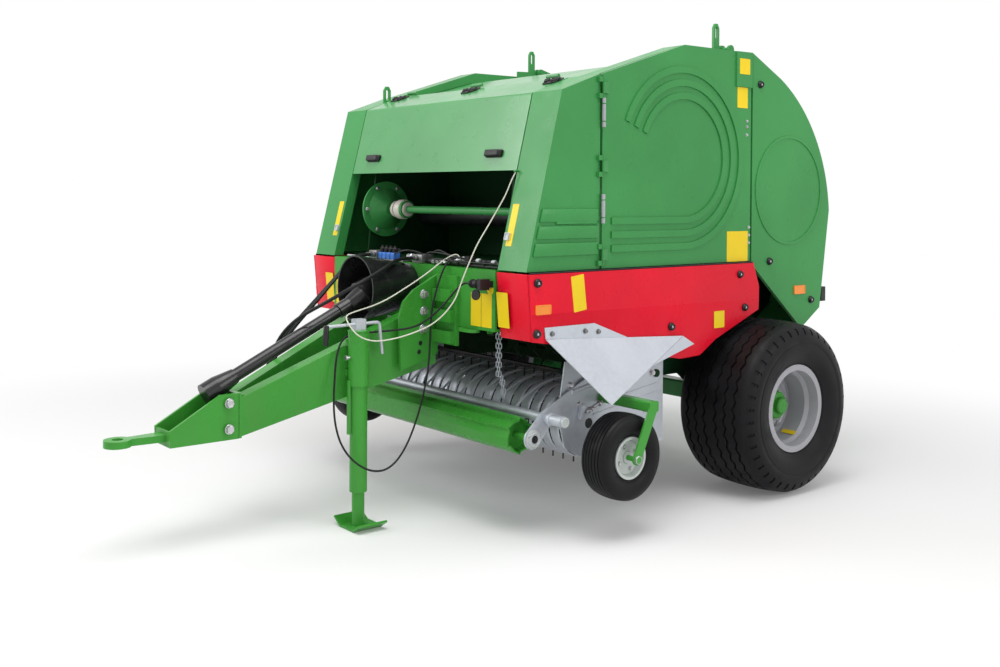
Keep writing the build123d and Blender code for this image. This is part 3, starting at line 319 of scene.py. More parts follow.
# ------------------------------------------------------------------ cords
CORDS = {
    # name: (radius, length, far end, stiffness, finish, slot, exit first)
    "rope": (0.0032, 2.0, "object", "limp", cord_fibre, "rope_fibre", [
        (0.755, -0.285, 1.726), (0.744, -0.301, 1.69), (0.726, -0.321, 1.617), (0.7, -0.363, 1.53),
        (0.678, -0.406, 1.448), (0.664, -0.446, 1.38), (0.655, -0.477, 1.31), (0.64, -0.499, 1.245),
        (0.622, -0.513, 1.185), (0.608, -0.525, 1.13), (0.58, -0.541, 1.08), (0.545, -0.566, 1.032),
        (0.5, -0.596, 0.99), (0.455, -0.633, 0.962), (0.415, -0.681, 0.938), (0.38, -0.736, 0.921),
        (0.352, -0.801, 0.912), (0.332, -0.856, 0.922), (0.308, -0.897, 0.95), (0.282, -0.918, 0.99),
        (0.256, -0.918, 1.018), (0.222, -0.898, 1.031), (0.2, -0.853, 1.04), (0.206, -0.796, 1.054),
        (0.232, -0.735, 1.074), (0.262, -0.671, 1.108), (0.29, -0.609, 1.15), (0.31, -0.545, 1.19),
        (0.324, -0.481, 1.232), (0.334, -0.429, 1.27), (0.347, -0.389, 1.297), (0.362, -0.357, 1.316),
        (0.377, -0.338, 1.316), (0.384, -0.331, 1.296),
    ]),
    "electric_cable": (0.005, 2.72, "plug", "medium", hose_skin, "hose_rubber", [
        (0.446, -0.338, 1.297), (0.418, -0.351, 1.302), (0.392, -0.374, 1.302), (0.372, -0.401, 1.283),
        (0.359, -0.421, 1.24), (0.348, -0.437, 1.185), (0.338, -0.453, 1.12), (0.33, -0.465, 1.05),
        (0.33, -0.475, 0.975), (0.336, -0.481, 0.895), (0.342, -0.489, 0.81), (0.344, -0.503, 0.72),
        (0.342, -0.523, 0.63), (0.34, -0.549, 0.545), (0.34, -0.581, 0.465), (0.342, -0.619, 0.395),
        (0.346, -0.663, 0.34), (0.35, -0.713, 0.302), (0.35, -0.766, 0.284), (0.342, -0.826, 0.29),
        (0.326, -0.881, 0.318), (0.304, -0.929, 0.365), (0.28, -0.963, 0.43), (0.256, -0.975, 0.505),
        (0.238, -0.975, 0.58), (0.224, -0.967, 0.66), (0.214, -0.956, 0.74), (0.205, -0.945, 0.812),
        (0.192, -0.925, 0.868), (0.172, -0.889, 0.908), (0.168, -0.847, 0.927), (0.184, -0.804, 0.933),
        (0.21, -0.763, 0.938), (0.232, -0.715, 0.941), (0.284, -0.653, 0.949), (0.326, -0.607, 0.958),
        (0.36, -0.569, 0.974), (0.394, -0.531, 1.008), (0.436, -0.497, 1.055), (0.478, -0.473, 1.108),
        (0.52, -0.453, 1.162), (0.56, -0.441, 1.192), (0.6, -0.441, 1.192),
    ]),
    "hose_1": (0.009, 1.24, "connector", "stiff", hose_skin, "hose_rubber", [
        (0.06, -0.401, 1.285), (0.06, -0.456, 1.285), (0.082, -0.521, 1.276), (0.13, -0.591, 1.259),
        (0.178, -0.671, 1.236), (0.208, -0.756, 1.208), (0.214, -0.836, 1.175), (0.19, -0.903, 1.136),
        (0.142, -0.953, 1.096), (0.078, -0.989, 1.058), (0.008, -1.017, 1.02), (-0.06, -1.037, 0.976),
        (-0.116, -1.057, 0.924), (-0.158, -1.073, 0.864), (-0.186, -1.082, 0.796), (-0.2, -1.086, 0.728),
        (-0.2, -1.086, 0.67),
    ]),
    "hose_2": (0.009, 1.0, "connector", "stiff", hose_skin, "hose_rubber", [
        (-0.34, -0.401, 1.285), (-0.34, -0.453, 1.285), (-0.334, -0.513, 1.264), (-0.318, -0.575, 1.222),
        (-0.298, -0.639, 1.172), (-0.278, -0.707, 1.118), (-0.264, -0.775, 1.06), (-0.254, -0.845, 1),
        (-0.248, -0.913, 0.938), (-0.245, -0.973, 0.872), (-0.243, -1.023, 0.8), (-0.242, -1.061, 0.732),
        (-0.242, -1.086, 0.67), (-0.242, -1.086, 0.62),
    ]),
    "hose_3": (0.009, 1.0, "connector", "stiff", hose_skin, "hose_rubber", [
        (-0.38, -0.401, 1.285), (-0.38, -0.447, 1.285), (-0.374, -0.503, 1.26), (-0.36, -0.561, 1.214),
        (-0.342, -0.625, 1.164), (-0.324, -0.695, 1.11), (-0.31, -0.767, 1.052), (-0.3, -0.839, 0.992),
        (-0.292, -0.911, 0.93), (-0.288, -0.973, 0.864), (-0.286, -1.025, 0.792), (-0.284, -1.063, 0.724),
        (-0.284, -1.086, 0.664), (-0.284, -1.086, 0.62),
    ]),
}
for name, (radius, length, far_end, stiffness, material, slot, points) in CORDS.items():
    curve = bpy.data.curves.new(name + "_line", "CURVE")
    curve.dimensions = "3D"
    curve.bevel_depth = radius
    curve.bevel_resolution = 3
    curve.resolution_u = 8
    curve.use_fill_caps = True
    spline = curve.splines.new("NURBS")
    spline.points.add(len(points) - 1)
    for control, place in zip(spline.points, points):
        control.co = (*place, 1)
    spline.order_u = 3
    spline.use_endpoint_u = True
    cord = bpy.data.objects.new(name + "_cord", curve)
    bpy.context.scene.collection.objects.link(cord)
    curve.materials.append(material)
    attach(cord, "frame")
    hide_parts(name)


# ------------------------------------------------------------------ shaping
def settle(piece):
    """Put a piece's place into its mesh, so its object sits unturned at the origin."""
    bpy.ops.object.select_all(action="DESELECT")
    piece.select_set(True)
    bpy.context.view_layer.objects.active = piece
    bpy.ops.object.transform_apply(location=True, rotation=True, scale=True)
    return piece


def start(kind, name, **place):
    """Add a primitive as the start of a piece, with nothing else selected."""
    bpy.ops.object.select_all(action="DESELECT")
    getattr(bpy.ops.mesh, f"primitive_{kind}_add")(**place)
    piece = bpy.context.object
    piece.name = piece.data.name = name
    return settle(piece)


class Shaping:
    """Edit mode on one piece, with its parts picked by place and normal."""

    def __init__(self, piece):
        self.piece = piece

    def __enter__(self):
        bpy.ops.object.select_all(action="DESELECT")
        self.piece.select_set(True)
        bpy.context.view_layer.objects.active = self.piece
        bpy.ops.object.mode_set(mode="EDIT")
        bpy.ops.mesh.select_mode(type="VERT")
        return self

    def __exit__(self, *error):
        bpy.ops.object.mode_set(mode="OBJECT")

    def pick(self, kind, test):
        """Select the verts, edges or faces whose centre, and direction or normal, pass the test."""
        bpy.ops.mesh.select_mode(type={"verts": "VERT", "edges": "EDGE", "faces": "FACE"}[kind])
        bpy.ops.mesh.select_all(action="DESELECT")
        mesh = bmesh.from_edit_mesh(self.piece.data)
        for part in getattr(mesh, kind):
            if kind == "verts":
                chosen = test(part.co)
            elif kind == "edges":
                chosen = test((part.verts[0].co + part.verts[1].co) / 2, part.verts[1].co - part.verts[0].co)
            else:
                chosen = test(part.calc_center_median(), part.normal)
            if chosen:
                part.select_set(True)
        mesh.select_flush_mode()
        bmesh.update_edit_mesh(self.piece.data)


def close_up(piece, smooth=35):
    """Merge doubles, turn the faces outwards and smooth the round parts."""
    with Shaping(piece):
        bpy.ops.mesh.select_all(action="SELECT")
        bpy.ops.mesh.remove_doubles(threshold=0.00002)
        bpy.ops.mesh.normals_make_consistent(inside=False)
    bpy.ops.object.shade_smooth_by_angle(angle=math.radians(smooth))
    return piece


def dress(piece, finish, body, stands_for=()):
    """Give a finished piece its material and its body."""
    piece.data.materials.clear()
    piece.data.materials.append(finish)
    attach(piece, body)
    if stands_for:
        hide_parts(*stands_for)
    return piece


def turned(name, profile, centre, axis=(1, 0, 0), steps=32, closed=False):
    """A piece turned about an axis; the profile is drawn through (along, radius) pairs, point by point."""
    along = Vector(axis).normalized()
    out = along.cross(Vector((0, 1, 0)) if abs(along.y) < 0.9 else Vector((0, 0, 1))).normalized()
    path = [Vector(centre) + along * a + out * r for a, r in profile]
    piece = start("plane", name, size=0.001, location=path[0])
    with Shaping(piece):
        bpy.ops.mesh.select_all(action="SELECT")
        bpy.ops.mesh.merge(type="CENTER")
        for before, after in zip(path, path[1:] + path[:1] * closed):
            bpy.ops.mesh.extrude_vertices_move(TRANSFORM_OT_translate={"value": after - before})
        bpy.ops.mesh.select_all(action="SELECT")
        bpy.ops.mesh.spin(steps=steps, angle=math.tau, center=centre, axis=along)
    return close_up(piece)


def slab(name, outline, depth, bevel=0.0, segments=2, smooth=35):
    """A plate cut to an outline of points and given its thickness, its edges rounded."""
    path = [Vector(point) for point in outline]
    piece = start("plane", name, size=0.001, location=path[0])
    with Shaping(piece):
        bpy.ops.mesh.select_all(action="SELECT")
        bpy.ops.mesh.merge(type="CENTER")
        for before, after in zip(path, path[1:] + path[:1]):
            bpy.ops.mesh.extrude_vertices_move(TRANSFORM_OT_translate={"value": after - before})
        bpy.ops.mesh.select_all(action="SELECT")
        bpy.ops.mesh.remove_doubles(threshold=0.00002)
        bpy.ops.mesh.edge_face_add()
        bpy.ops.mesh.extrude_region_move(TRANSFORM_OT_translate={"value": Vector(depth)})
        bpy.ops.mesh.select_all(action="SELECT")
        bpy.ops.mesh.normals_make_consistent(inside=False)
        if bevel:
            bpy.ops.mesh.bevel(offset=bevel, segments=segments, affect="EDGES", clamp_overlap=True)
    return close_up(piece, smooth)


def facing(place, normal, turn=0.0, up=(0, 0, 1)):
    """The matrix that stands a master's +Z along a normal, at a place."""
    out = Vector(normal).normalized()
    up = Vector(up) if abs(out.dot(Vector(up))) < 0.95 else Vector((0, 1, 0))
    across = up.cross(out).normalized()
    basis = Matrix((across, out.cross(across), out)).transposed().to_4x4()
    return Matrix.Translation(place) @ basis @ Matrix.Rotation(turn, 4, "Z")


def repeat(master, places, name):
    """Copies of a finished master at each place, as one piece; the master goes."""
    made = []
    for place in places:
        bpy.ops.object.select_all(action="DESELECT")
        master.select_set(True)
        bpy.context.view_layer.objects.active = master
        bpy.ops.object.duplicate()
        copy = bpy.context.object
        copy.matrix_world = place
        made.append(settle(copy))
    bpy.data.objects.remove(master)
    return joined(made, name)


def joined(parts, name):
    """Several pieces made into one, under one name."""
    bpy.ops.object.select_all(action="DESELECT")
    for part in parts:
        part.select_set(True)
    bpy.context.view_layer.objects.active = parts[0]
    if len(parts) > 1:
        bpy.ops.object.join()
    parts[0].name = parts[0].data.name = name
    return parts[0]


def circle(centre, radius, count, out, first=0.0):
    """Places evenly round a centre in the plane across X, each facing out."""
    angles = [first + math.tau * n / count for n in range(count)]
    return [facing(centre + Vector((0, math.cos(a), math.sin(a))) * radius, out, a) for a in angles]


def block(name, low, high, bevel, segments=2):
    """A box between two corners, its edges rounded."""
    corners = ((low[0], low[1]), (high[0], low[1]), (high[0], high[1]), (low[0], high[1]))
    base = [Vector((x, y, low[2])) for x, y in corners]
    return slab(name, base, (0, 0, high[2] - low[2]), bevel, segments)


def hex_bolt(width, head, washer, thick=0.0025):
    """A hexagon head with a chamfered crown on its washer, along +Z from the origin."""
    piece = start("cylinder", "bolt", vertices=20, radius=washer, depth=thick, location=(0, 0, thick / 2))
    with Shaping(piece) as shape:
        shape.pick("edges", lambda c, d: c.z > thick * 0.9 and c.xy.length > washer * 0.9)
        bpy.ops.mesh.bevel(offset=thick * 0.3, segments=1)
        bpy.ops.mesh.primitive_cylinder_add(vertices=6, radius=width / 2 / math.cos(math.pi / 6), depth=head,
                                            location=(0, 0, thick + head / 2))
        shape.pick("edges", lambda c, d: c.z > thick + head * 0.98)
        bpy.ops.mesh.bevel(offset=width * 0.07, segments=2)
        shape.pick("faces", lambda c, n: n.z > 0.9 and c.z > thick + head * 0.98)
        bpy.ops.mesh.inset(thickness=width * 0.12, depth=-head * 0.06)
    return close_up(piece, 25)


def plate(name, centre, normal, width, height, thick=0.0012, round_corner=0.004, up=(0, 0, 1), turn=0.0):
    """A thin blank plate with rounded corners and a faint raised border."""
    piece = start("plane", name, size=1)
    with Shaping(piece) as shape:
        bpy.ops.mesh.select_all(action="SELECT")
        bpy.ops.transform.resize(value=(width, height, 1))
        bpy.ops.mesh.bevel(offset=round_corner, segments=4, affect="VERTICES")
        bpy.ops.mesh.extrude_region_move(TRANSFORM_OT_translate={"value": (0, 0, thick)})
        shape.pick("faces", lambda c, n: c.z > thick * 0.9)
        bpy.ops.mesh.inset(thickness=0.003, depth=0)
        bpy.ops.mesh.inset(thickness=0.0006, depth=-thick * 0.3)
    piece.matrix_world = facing(centre, normal, turn, up)
    return close_up(settle(piece), 20)


def rod(name, path, radius, finish, body, sides=10, bend=0.0):
    """A round rod or pipe along a path of points, its corners bent to a radius and its ends capped flat."""
    path = [Vector(point) for point in path]
    piece = start("plane", name, size=0.001, location=path[0])
    with Shaping(piece) as shape:
        bpy.ops.mesh.select_all(action="SELECT")
        bpy.ops.mesh.merge(type="CENTER")
        for before, after in zip(path, path[1:]):
            bpy.ops.mesh.extrude_vertices_move(TRANSFORM_OT_translate={"value": after - before})
        if bend:
            inner = [tuple(round(v, 4) for v in point) for point in path[1:-1]]
            shape.pick("verts", lambda c: tuple(round(v, 4) for v in c) in inner)
            bpy.ops.mesh.bevel(offset=bend, segments=5, affect="VERTICES")
    bpy.ops.object.convert(target="CURVE")
    line = bpy.context.object.data
    line.bevel_depth, line.bevel_resolution, line.use_fill_caps = radius, max(1, sides // 4), True
    bpy.ops.object.convert(target="MESH")
    piece = bpy.context.object
    piece.name = piece.data.name = name
    return dress(close_up(piece, 50), finish, body)


# ------------------------------------------------------------------ wheels
def tyre(name, node, groove_at, groove, side, crown, steps, wave, slots_between=None):
    """A tyre spun from its section: beads, ringed side walls and a grooved tread.

    groove_at lists the grooves' distances from the middle, groove is (top width, depth), side the
    wall's points from bead to shoulder, crown the tread's drop at the shoulder, and wave the size of
    the grooves' zigzag, which repeats every four steps of the spin."""
    centre = middle(node)
    radius = centre.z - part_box(node)[0].z
    half = side[-1][0]
    wall = [(-a, r) for a, r in side]
    top = []
    for at in sorted(groove_at):
        for step, drop in ((-0.5, 0), (-0.3, 1), (0.3, 1), (0.5, 0)):
            x = at + step * groove[0]
            top.append((x, radius - crown * (x / half) ** 2 - drop * groove[1]))
    inner = [(side[0][0] - 0.016, side[0][1]), (side[0][0] * 0.8, side[0][1] + 0.03)]
    loop = wall + top + side[::-1] + inner + [(-a, r) for a, r in inner[::-1]]
    piece = turned(name, loop, centre, steps=steps, closed=True)
    turn = math.tau / steps
    if wave:
        reach = max(abs(at) for at in groove_at) + groove[0]
        with Shaping(piece) as shape:
            for phase, shift in ((0, wave), (2, -wave)):
                shape.pick(
                    "verts",
                    lambda c: abs(c.x - centre.x) < reach
                    and math.hypot(c.y - centre.y, c.z - centre.z) > radius - crown - groove[1] - 0.002
                    and round(math.atan2(c.z - centre.z, c.y - centre.y) / turn) % 4 == phase,
                )
                bpy.ops.transform.translate(value=(shift, 0, 0))
    if slots_between:
        low, high = slots_between
        with Shaping(piece) as shape:
            shape.pick(
                "faces",
                lambda c, n: low < math.hypot(c.y - centre.y, c.z - centre.z) < high
                and abs(c.x - centre.x) > half * 0.86
                and math.floor(math.atan2(c.z - centre.z, c.y - centre.y) / turn) % 4 == 1,
            )
            bpy.ops.mesh.inset(thickness=0.0012, depth=-0.005, use_individual=True)
    return close_up(piece, 32)


ROAD_WALL = [
    (0.200, 0.217), (0.204, 0.232), (0.214, 0.243), (0.221, 0.247), (0.226, 0.258), (0.238, 0.278),
    (0.246, 0.303), (0.2495, 0.330), (0.2495, 0.352), (0.2475, 0.354), (0.2475, 0.359), (0.2485, 0.361),
    (0.2475, 0.384), (0.243, 0.404), (0.236, 0.421), (0.222, 0.437), (0.206, 0.449), (0.192, 0.4555),
]
GAUGE_WALL = [
    (0.058, 0.103), (0.060, 0.112), (0.067, 0.118), (0.071, 0.126), (0.0755, 0.142), (0.0773, 0.158),
    (0.0765, 0.172), (0.073, 0.185), (0.068, 0.194), (0.062, 0.199),
]
HUB_CAP = [
    (0, 0.104), (0.006, 0.104), (0.010, 0.098), (0.012, 0.078), (0.062, 0.074), (0.068, 0.068),
    (0.070, 0.046), (0.092, 0.044), (0.098, 0.038), (0.100, 0.0),
]
VALVE = [(0, 0.0), (0, 0.0085), (0.02, 0.0055), (0.035, 0.004), (0.036, 0.005), (0.048, 0.005), (0.050, 0.0)]
DISC = [
    (0.028, 0.084), (0.034, 0.0835), (0.038, 0.079), (0.038, 0.040), (0.040, 0.037), (0.040, 0.031),
    (0.028, 0.030),
]
for side, sign in SIDES:
    road = tyre(
        f"road_tyre_{side}", f"wheel_{side}_tyre", (-0.155, -0.097, -0.037, 0.037, 0.097, 0.155),
        (0.013, 0.011), ROAD_WALL, 0.011, 160, 0.008, (0.405, 0.440),
    )
    dress(road, tread, f"wheel_{side}", [f"wheel_{side}_tyre"])
    small = tyre(
        f"gauge_tyre_{side}", f"gauge_{side}_tyre", (-0.047, -0.0285, -0.0095, 0.0095, 0.0285, 0.047),
        (0.0045, 0.005), GAUGE_WALL, 0.0055, 88, 0,
    )
    dress(small, tread, f"gauge_{side}", [f"gauge_{side}_tyre"])

    # hub, nuts, cap and valve of the road wheel
    hub = middle(f"wheel_{side}_tyre")
    face = hub + Vector((sign * 0.034, 0, 0))
    cap = turned(f"wheel_hub_{side}", HUB_CAP, face, axis=(sign, 0, 0), steps=40)
    dress(cap, bright_green, f"wheel_{side}")
    nuts = repeat(hex_bolt(0.024, 0.016, 0.017), circle(face, 0.137, 6, (sign, 0, 0)), f"wheel_nuts_{side}")
    dress(nuts, bolt_steel, f"wheel_{side}")
    ring = turned(
        f"rim_rings_{side}",
        [(0.0, 0.150), (0.004, 0.155), (0.005, 0.160), (0.004, 0.165), (0.0, 0.170)],
        face, axis=(sign, 0, 0), steps=64,
    )
    dress(ring, silver, f"wheel_{side}")
    label_at = hub + Vector((sign * 0.105, 0.09, -0.158))
    sticker = plate(f"rim_plate_{side}", label_at, (0, -0.50, 0.866), 0.030, 0.085, up=(0, 0.866, 0.5),
                    turn=math.pi / 2)
    dress(sticker, yellow, f"wheel_{side}")
    valve_at = hub + Vector((sign * 0.06, -0.12, 0.135))
    valve = turned(f"rim_valve_{side}", VALVE, valve_at, axis=(sign * 0.9, 0.2, -0.25), steps=12)
    dress(valve, black, f"wheel_{side}")

    # pressed disc, axle end and nuts of the gauge wheel
    centre = middle(f"gauge_{side}_tyre")
    dish = turned(f"gauge_disc_{side}", DISC, centre, axis=(sign, 0, 0), steps=48)
    dress(dish, disc_zinc, f"gauge_{side}")
    bosses = circle(centre + Vector((sign * 0.038, 0, 0)), 0.058, 4, (sign, 0, 0), 0.4)
    lugs = repeat(hex_bolt(0.017, 0.010, 0.012), bosses, f"gauge_wheel_nuts_{side}")
    dress(lugs, bolt_steel, f"gauge_{side}")
    spindle_end = facing(Vector((sign * 1.2362, GAUGE_AT.y, GAUGE_AT.z)), (sign, 0, 0))
    spindle = repeat(hex_bolt(0.037, 0.0082, 0.0195, 0.0015), [spindle_end], f"gauge_spindle_nut_{side}")
    dress(spindle, bolt_steel, "pickup")

# ------------------------------------------------------------------ fasteners
KNOB = [
    (0, 0.021), (0.006, 0.021), (0.010, 0.018), (0.016, 0.0165), (0.018, 0.013), (0.015, 0.0095),
    (0.010, 0.008), (0.010, 0.0),
]


def knobs(name, places, normal, body):
    """Rubber quarter-turn fasteners with a steel slot screw in each."""
    cups = [turned("knob", KNOB, place, axis=normal, steps=24) for place in places]
    dress(joined(cups, name), black, body)
    screws = repeat(
        hex_bolt(0.010, 0.003, 0.0075, 0.0015),
        [facing(place + Vector(normal) * 0.010, normal, 0.3) for place in places], name + "_screws",
    )
    dress(screws, bolt_steel, body)


FLANGE_X = 0.278
# profile of a thin black disc: painted shade inside an open hole
HOLE_SHADE = [(0.0004, 0.012), (0.0008, 0.0105), (0.0006, 0.0)]
for side, sign in SIDES:
    out = Vector((sign, 0, 0))
    skirt = ((-0.233, 1.194), (-0.188, 1.012), (-0.784, 0.948), (-1.703, 0.978), (-1.700, 1.212))
    skirt = [spot(sign * SKIRT_X, y, z) for y, z in skirt]
    knobs(f"skirt_knobs_{side}", skirt, out, "frame")
    tail = [spot(sign * DOOR_X, y, z) for y, z in ((0.058, 1.254), (0.455, 1.017), (-0.036, 2.239))]
    knobs(f"tailgate_knobs_{side}", tail, out, "tailgate")
    shield = [spot(sign * 0.985, y, z) for y, z in ((-1.612, 0.973), (-1.399, 0.971), (-1.312, 0.962))]
    bolts = repeat(hex_bolt(0.017, 0.010, 0.013), [facing(p, out, 0.2) for p in shield],
                   f"shield_bolts_{side}")
    dress(bolts, roller_steel, "frame")
    low_row, top_row = (-0.128, (1.448, 1.405, 1.363)), (-0.152, (2.030, 2.000, 1.955))
    screws = [spot(sign * DOOR_X, y, z) for y, levels in (low_row, top_row) for z in levels]
    row = repeat(hex_bolt(0.011, 0.005, 0.009), [facing(p, out) for p in screws], f"door_screws_{side}")
    dress(row, bolt_steel, f"door_{side}")
    # heads through the beam's and the cheek's flanges
    heads = ((-1.837, 1.117, 0), (-1.837, 1.032, 0.4), (-1.842, 0.942, 0.2))
    heads = [facing(spot(sign * FLANGE_X, y, z), out, turn) for y, z, turn in heads]
    flange = repeat(hex_bolt(0.030, 0.019, 0.024, 0.004), heads, f"drawbar_bolts_{side}")
    dress(flange, bolt_steel, "frame")
    # black discs over the flange's two open holes: painted shade for their dark insides
    hole_shades = ((-1.858, 0.872), (-1.866, 0.828))
    hole_shades = [turned("hole", HOLE_SHADE, spot(sign * FLANGE_X, y, z), axis=out, steps=20) for y, z in hole_shades]
    dress(joined(hole_shades, f"drawbar_holes_{side}"), black, "frame")
    hitch = [facing(spot(sign * 0.100, -2.806, z), out, turn) for z, turn in ((0.530, 0.1), (0.650, 0.5))]
    pair = repeat(hex_bolt(0.034, 0.014, 0.023, 0.003), hitch, f"hitch_bolts_{side}")
    dress(pair, bolt_steel, "frame")

# ------------------------------------------------------------------ plates and reflectors
PLATES = [
    # name, centre, stance, width, height, body
    ("door_plate", (DOOR_X, -0.224, 1.345), "level", 0.178, 0.165, "door"),
    ("door_upper_plate", (DOOR_X, -0.190, 2.157), "level", 0.088, 0.112, "door"),
    ("door_top_plate", (DOOR_X + 0.010, -0.184, 2.327), "level", 0.088, 0.085, "door"),
    ("skirt_plate", (SKIRT_X, -1.437, 1.153), "lean", 0.083, 0.172, "frame"),
    ("skirt_rear_plate", (SKIRT_X, -0.402, 0.960), "level", 0.085, 0.090, "frame"),
]
for side, sign in SIDES:
    out = Vector((sign, 0, 0))
    for name, (x, y, z), stance, width, height, body in PLATES:
        rides = body + "_" + side if body == "door" else body
        turn = sign * 0.13 if stance == "lean" else 0.0
        sheet = plate(f"{name}_{side}", spot(sign * x, y, z), out, width, height, turn=turn)
        dress(sheet, yellow, rides)
    for name, (y, z), width, height, body, x in (
        ("tailgate_reflector", (0.343, 1.081), 0.105, 0.050, "tailgate", DOOR_X),
        ("skirt_reflector", (-1.665, 1.088), 0.095, 0.045, "frame", SKIRT_X),
    ):
        lens_plate = plate(f"{name}_{side}", spot(sign * x, y, z), out, width, height, thick=0.007,
                           round_corner=0.006)
        dress(lens_plate, amber, body)
    strip = plate(f"front_strip_{side}", front_spot(sign * 0.790, 1.475), FRONT_NORMAL, 0.045, 0.205,
                  up=FRONT_UP)
    dress(strip, yellow, "frame")
    catch = plate(f"strip_catch_{side}", front_spot(sign * 0.776, 1.419), FRONT_NORMAL, 0.030, 0.036, 0.013,
                  up=FRONT_UP)
    dress(catch, pale_grey, "frame")
    skirt_front = plate(f"skirt_front_plate_{side}", spot(sign * 0.790, -1.7465, 1.075), (0, -0.996, -0.089),
                        0.082, 0.168)
    dress(skirt_front, yellow, "frame")
for name, x in (("beam_plate_inner", 0.590), ("beam_plate_outer", 0.672)):
    for side, sign in SIDES:
        sign_plate = plate(f"{name}_{side}", spot(sign * x, BEAM_FACE, 1.062), (0, -1, 0), 0.078, 0.162)
        dress(sign_plate, yellow, "frame")
ROUND_PLATE = [(0, 0.024), (0.001, 0.0242), (0.0014, 0.022), (0.001, 0.021), (0.001, 0.0)]
disc = turned("beam_round_plate", ROUND_PLATE, spot(0.699, BEAM_FACE, 1.164), axis=(0, -1, 0), steps=36)
dress(disc, yellow, "frame")

# ------------------------------------------------------------------ hood
ARCH = [
    (-0.065, 0), (-0.065, 0.012), (-0.050, 0.026), (0.050, 0.026), (0.065, 0.012), (0.065, 0), (0.046, 0),
    (0.040, 0.012), (-0.040, 0.012), (-0.046, 0),
]
for side, sign in SIDES:
    foot = front_spot(sign * 0.545, 1.822)
    depth = FRONT_UP * 0.031
    outline = [foot + Vector((a, 0, 0)) + FRONT_NORMAL * b - depth / 2 for a, b in ARCH]
    grip = slab(f"hood_handle_{side}", outline, depth, 0.004, 3)
    dress(grip, black, "hood", ["hood_handles"] if side == "left" else ())
    back = plate(f"hood_handle_seat_{side}", foot, FRONT_NORMAL, 0.135, 0.042, thick=0.002,
                 round_corner=0.014, up=FRONT_UP)
    dress(back, black, "hood")
TOP_SLOPE = Vector((0, 0.245, 0.090)).normalized()
TOP_NORMAL = Vector((0, -0.090, 0.245)).normalized()
LEAF = [
    (-0.030, -0.040), (0.030, -0.040), (0.048, -0.018), (0.048, 0.018), (0.030, 0.058), (-0.030, 0.058),
    (-0.048, 0.018), (-0.048, -0.018),
]
KNUCKLE = [
    (-0.052, 0), (-0.052, 0.008), (-0.050, 0.010), (-0.019, 0.010), (-0.018, 0.007), (0.018, 0.007),
    (0.019, 0.010), (0.050, 0.010), (0.052, 0.008), (0.052, 0),
]
for n, x in enumerate((-0.668, 0.018, 0.688)):
    seat = spot(x, -1.352, 2.1815)     # on the roof's front slope
    outline = [seat + Vector((a, 0, 0)) + TOP_SLOPE * b for a, b in LEAF]
    hinge = slab(f"hood_hinge_{n}", outline, TOP_NORMAL * 0.008, 0.002)
    knuckle = turned("knuckle", KNUCKLE, seat + TOP_NORMAL * 0.010 + TOP_SLOPE * 0.006, steps=16)
    studs = [
        facing(seat + Vector((a, 0, 0)) + TOP_NORMAL * 0.008 + TOP_SLOPE * b, TOP_NORMAL)
        for a in (-0.024, 0.024) for b in (-0.022, 0.034)
    ]
    studs = repeat(hex_bolt(0.012, 0.006, 0.009), studs, "hinge_studs")
    dress(joined([hinge, knuckle, studs], f"hood_hinge_{n}"), black, "hood")

# ------------------------------------------------------------------ hose couplers
COUPLER = [
    (0, 0), (0, 0.010), (-0.004, 0.012), (-0.020, 0.012), (-0.022, 0.0165), (-0.038, 0.0165),
    (-0.040, 0.014), (-0.050, 0.014), (-0.052, 0.017), (-0.060, 0.017), (-0.062, 0.0135),
    (-0.080, 0.0135), (-0.082, 0.010), (-0.094, 0.010), (-0.095, 0),
]
CAP = [(0, 0.0105), (0, 0.0125), (0.030, 0.0115), (0.034, 0.0095)]
COUPLERS = ((-0.200, 0.670, cap_red), (-0.242, 0.620, cap_yellow), (-0.284, 0.620, cap_red))
for n, (x, top, colour) in enumerate(COUPLERS, 1):
    coupler = turned(f"hose_coupler_{n}", COUPLER, spot(x, -2.445, top), axis=(0, 0, 1), steps=20)
    dress(coupler, bolt_steel, "frame", ["hose_couplers"] if n == 1 else ())
    sleeve = turned(f"coupler_cap_{n}", CAP, spot(x, -2.445, top), axis=(0, 0, 1), steps=18)
    dress(sleeve, colour, "frame")

